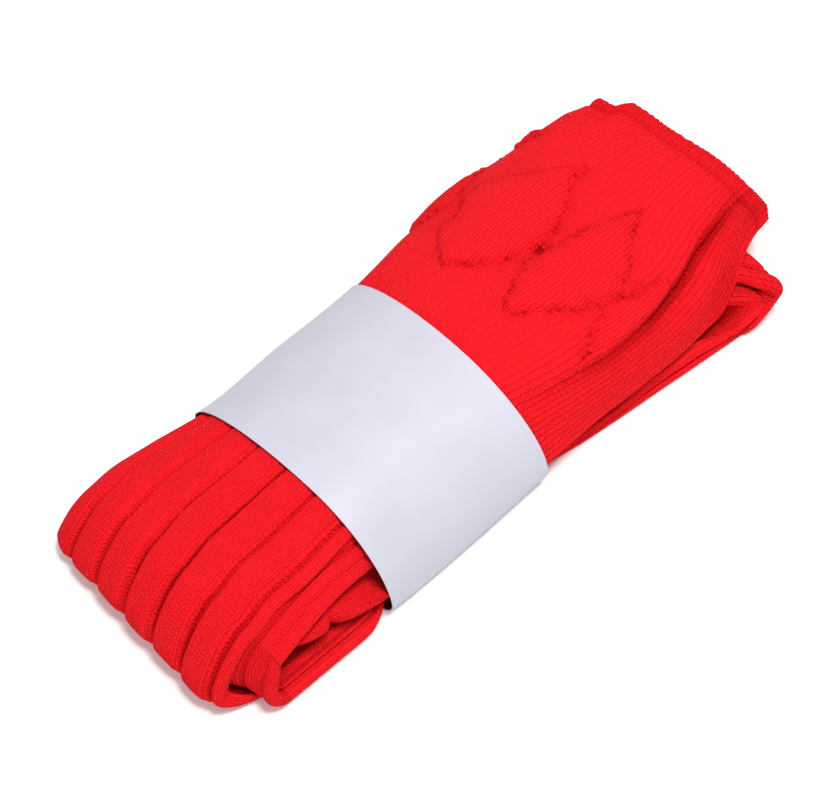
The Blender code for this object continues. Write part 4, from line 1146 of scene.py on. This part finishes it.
def make_paper():
    """Smooth uncoated card: nearly even, with a faint cloudy tone and a fine tooth, and
    painted shade with a red tint on its inside.
    """
    material, n, shader = new_material("white_paper")
    place = n.add("ShaderNodeTexCoord").outputs["Object"]
    cloud = n.noise(place, 45.0, 4.0)
    paper = n.mix_colour(cloud, (0.39, 0.385, 0.45, 1.0), (0.45, 0.445, 0.51, 1.0))
    bump = n.add("ShaderNodeBump", {"Strength": 0.25, "Distance": 0.0001,
                                    "Height": n.noise(place, 2500.0, 3.0)})
    n.feed(shader, {"Base Color": n.mix_colour(n.attribute("painted_hollow_shade"), paper, INSIDE_PAINTED_SHADE),
                    "Roughness": n.math("MULTIPLY_ADD", cloud, 0.12, 0.45),
                    "Specular IOR Level": 0.3,
                    "Normal": bump.outputs["Normal"]})
    return material


band_x = [BAND_NEAR_X + e for e in BAND_EDGE]
band_x += list(np.linspace(BAND_NEAR_X + 2.0, BAND_FAR_X - 2.0, 42))
band_x += [BAND_FAR_X - e for e in BAND_EDGE[::-1]]
loops = np.array([on_plane(x, band_loop(x)) for x in band_x])
turning = np.roll(loops, -1, axis=1) - np.roll(loops, 1, axis=1)
out = np.cross(turning, np.array([1.0, 0.0, 0.0]))
out /= np.linalg.norm(out, axis=2, keepdims=True)
if out[0, BAND_COLUMNS // 2, 2] < 0.0:
    out = -out
card_half = out * BAND_CARD / 2
points = np.concatenate([(loops + card_half).reshape(-1, 3), (loops - card_half).reshape(-1, 3)])
rows, columns = loops.shape[:2]
count = rows * columns
last = count - columns
faces = grid_faces(rows, columns, closed=True)
faces += grid_faces(rows, columns, count, closed=True, turned=True)
for j in range(columns):
    k = (j + 1) % columns
    faces.append((j, j + count, k + count, k))
    faces.append((last + j, last + k, last + k + count, last + j + count))
faces = facing_out(points, faces, out[0, 0])
plain = np.zeros(2 * count)
# painted shade on the card's inside face
painted_inside_shade = np.repeat((0.0, 1.0), count)
paper_band = place_mesh("paper_band_card", points, faces, np.zeros(points.shape),
                        (plain, plain, painted_inside_shade), make_paper())
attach(paper_band, "root")
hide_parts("paper_band")


# The plain pale floor that the pair lies on, the white surroundings and the soft lights, and
# the camera at the photograph's angle.
bpy.ops.object.select_all(action="DESELECT")
bpy.ops.mesh.primitive_plane_add(size=6.0)
floor = bpy.context.object
floor.name = "floor"
floor_paint, n, shader = new_material("floor")
n.feed(shader, {"Base Color": (0.93, 0.93, 0.93, 1.0), "Roughness": 0.9})
floor.data.materials.append(floor_paint)

world = bpy.data.worlds.new("studio")
world.use_nodes = True
Nodes(world.node_tree).feed(world.node_tree.nodes["Background"],
                            {"Color": (1.0, 1.0, 1.0, 1.0), "Strength": 0.52})
bpy.context.scene.world = world
bpy.context.scene.view_settings.view_transform = "Standard"

LIGHTS = (                # name, place, width and power of each soft light
    ("key", (0.02, -0.26, 1.36), 0.45, 21.5),
    ("front", (-0.80, -0.40, 0.95), 0.6, 2.6),
    ("far", (0.90, 0.40, 0.80), 0.6, 1.2),
)
for name, place, width, power in LIGHTS:
    lamp = bpy.data.lights.new(name, "AREA")
    lamp.size = width
    lamp.energy = power
    lamp_object = bpy.data.objects.new(name, lamp)
    lamp_object.location = place
    lamp_object.rotation_euler = (-Vector(place)).to_track_quat("-Z", "Y").to_euler()
    bpy.context.scene.collection.objects.link(lamp_object)

CAMERA_TURN = math.radians(-44.0)
CAMERA_RISE = math.radians(60.0)
CAMERA_AWAY = 1.30
SHOWN_WIDTH = 0.33613     # what the picture takes in across, at the target
SENSOR = 36.0
target = Vector((0.0, 0.0, 0.02)) - Vector(DRAWING_ORIGIN * MM)
forward = Vector((math.sin(-CAMERA_TURN) * math.cos(CAMERA_RISE),
                  math.cos(CAMERA_TURN) * math.cos(CAMERA_RISE), -math.sin(CAMERA_RISE)))
camera_data = bpy.data.cameras.new("camera")
camera_data.sensor_width = SENSOR
camera_data.lens = SENSOR * CAMERA_AWAY / SHOWN_WIDTH
camera = bpy.data.objects.new("camera", camera_data)
camera.location = target - forward * CAMERA_AWAY
camera.rotation_euler = forward.to_track_quat("-Z", "Y").to_euler()
bpy.context.scene.collection.objects.link(camera)
bpy.context.scene.camera = camera
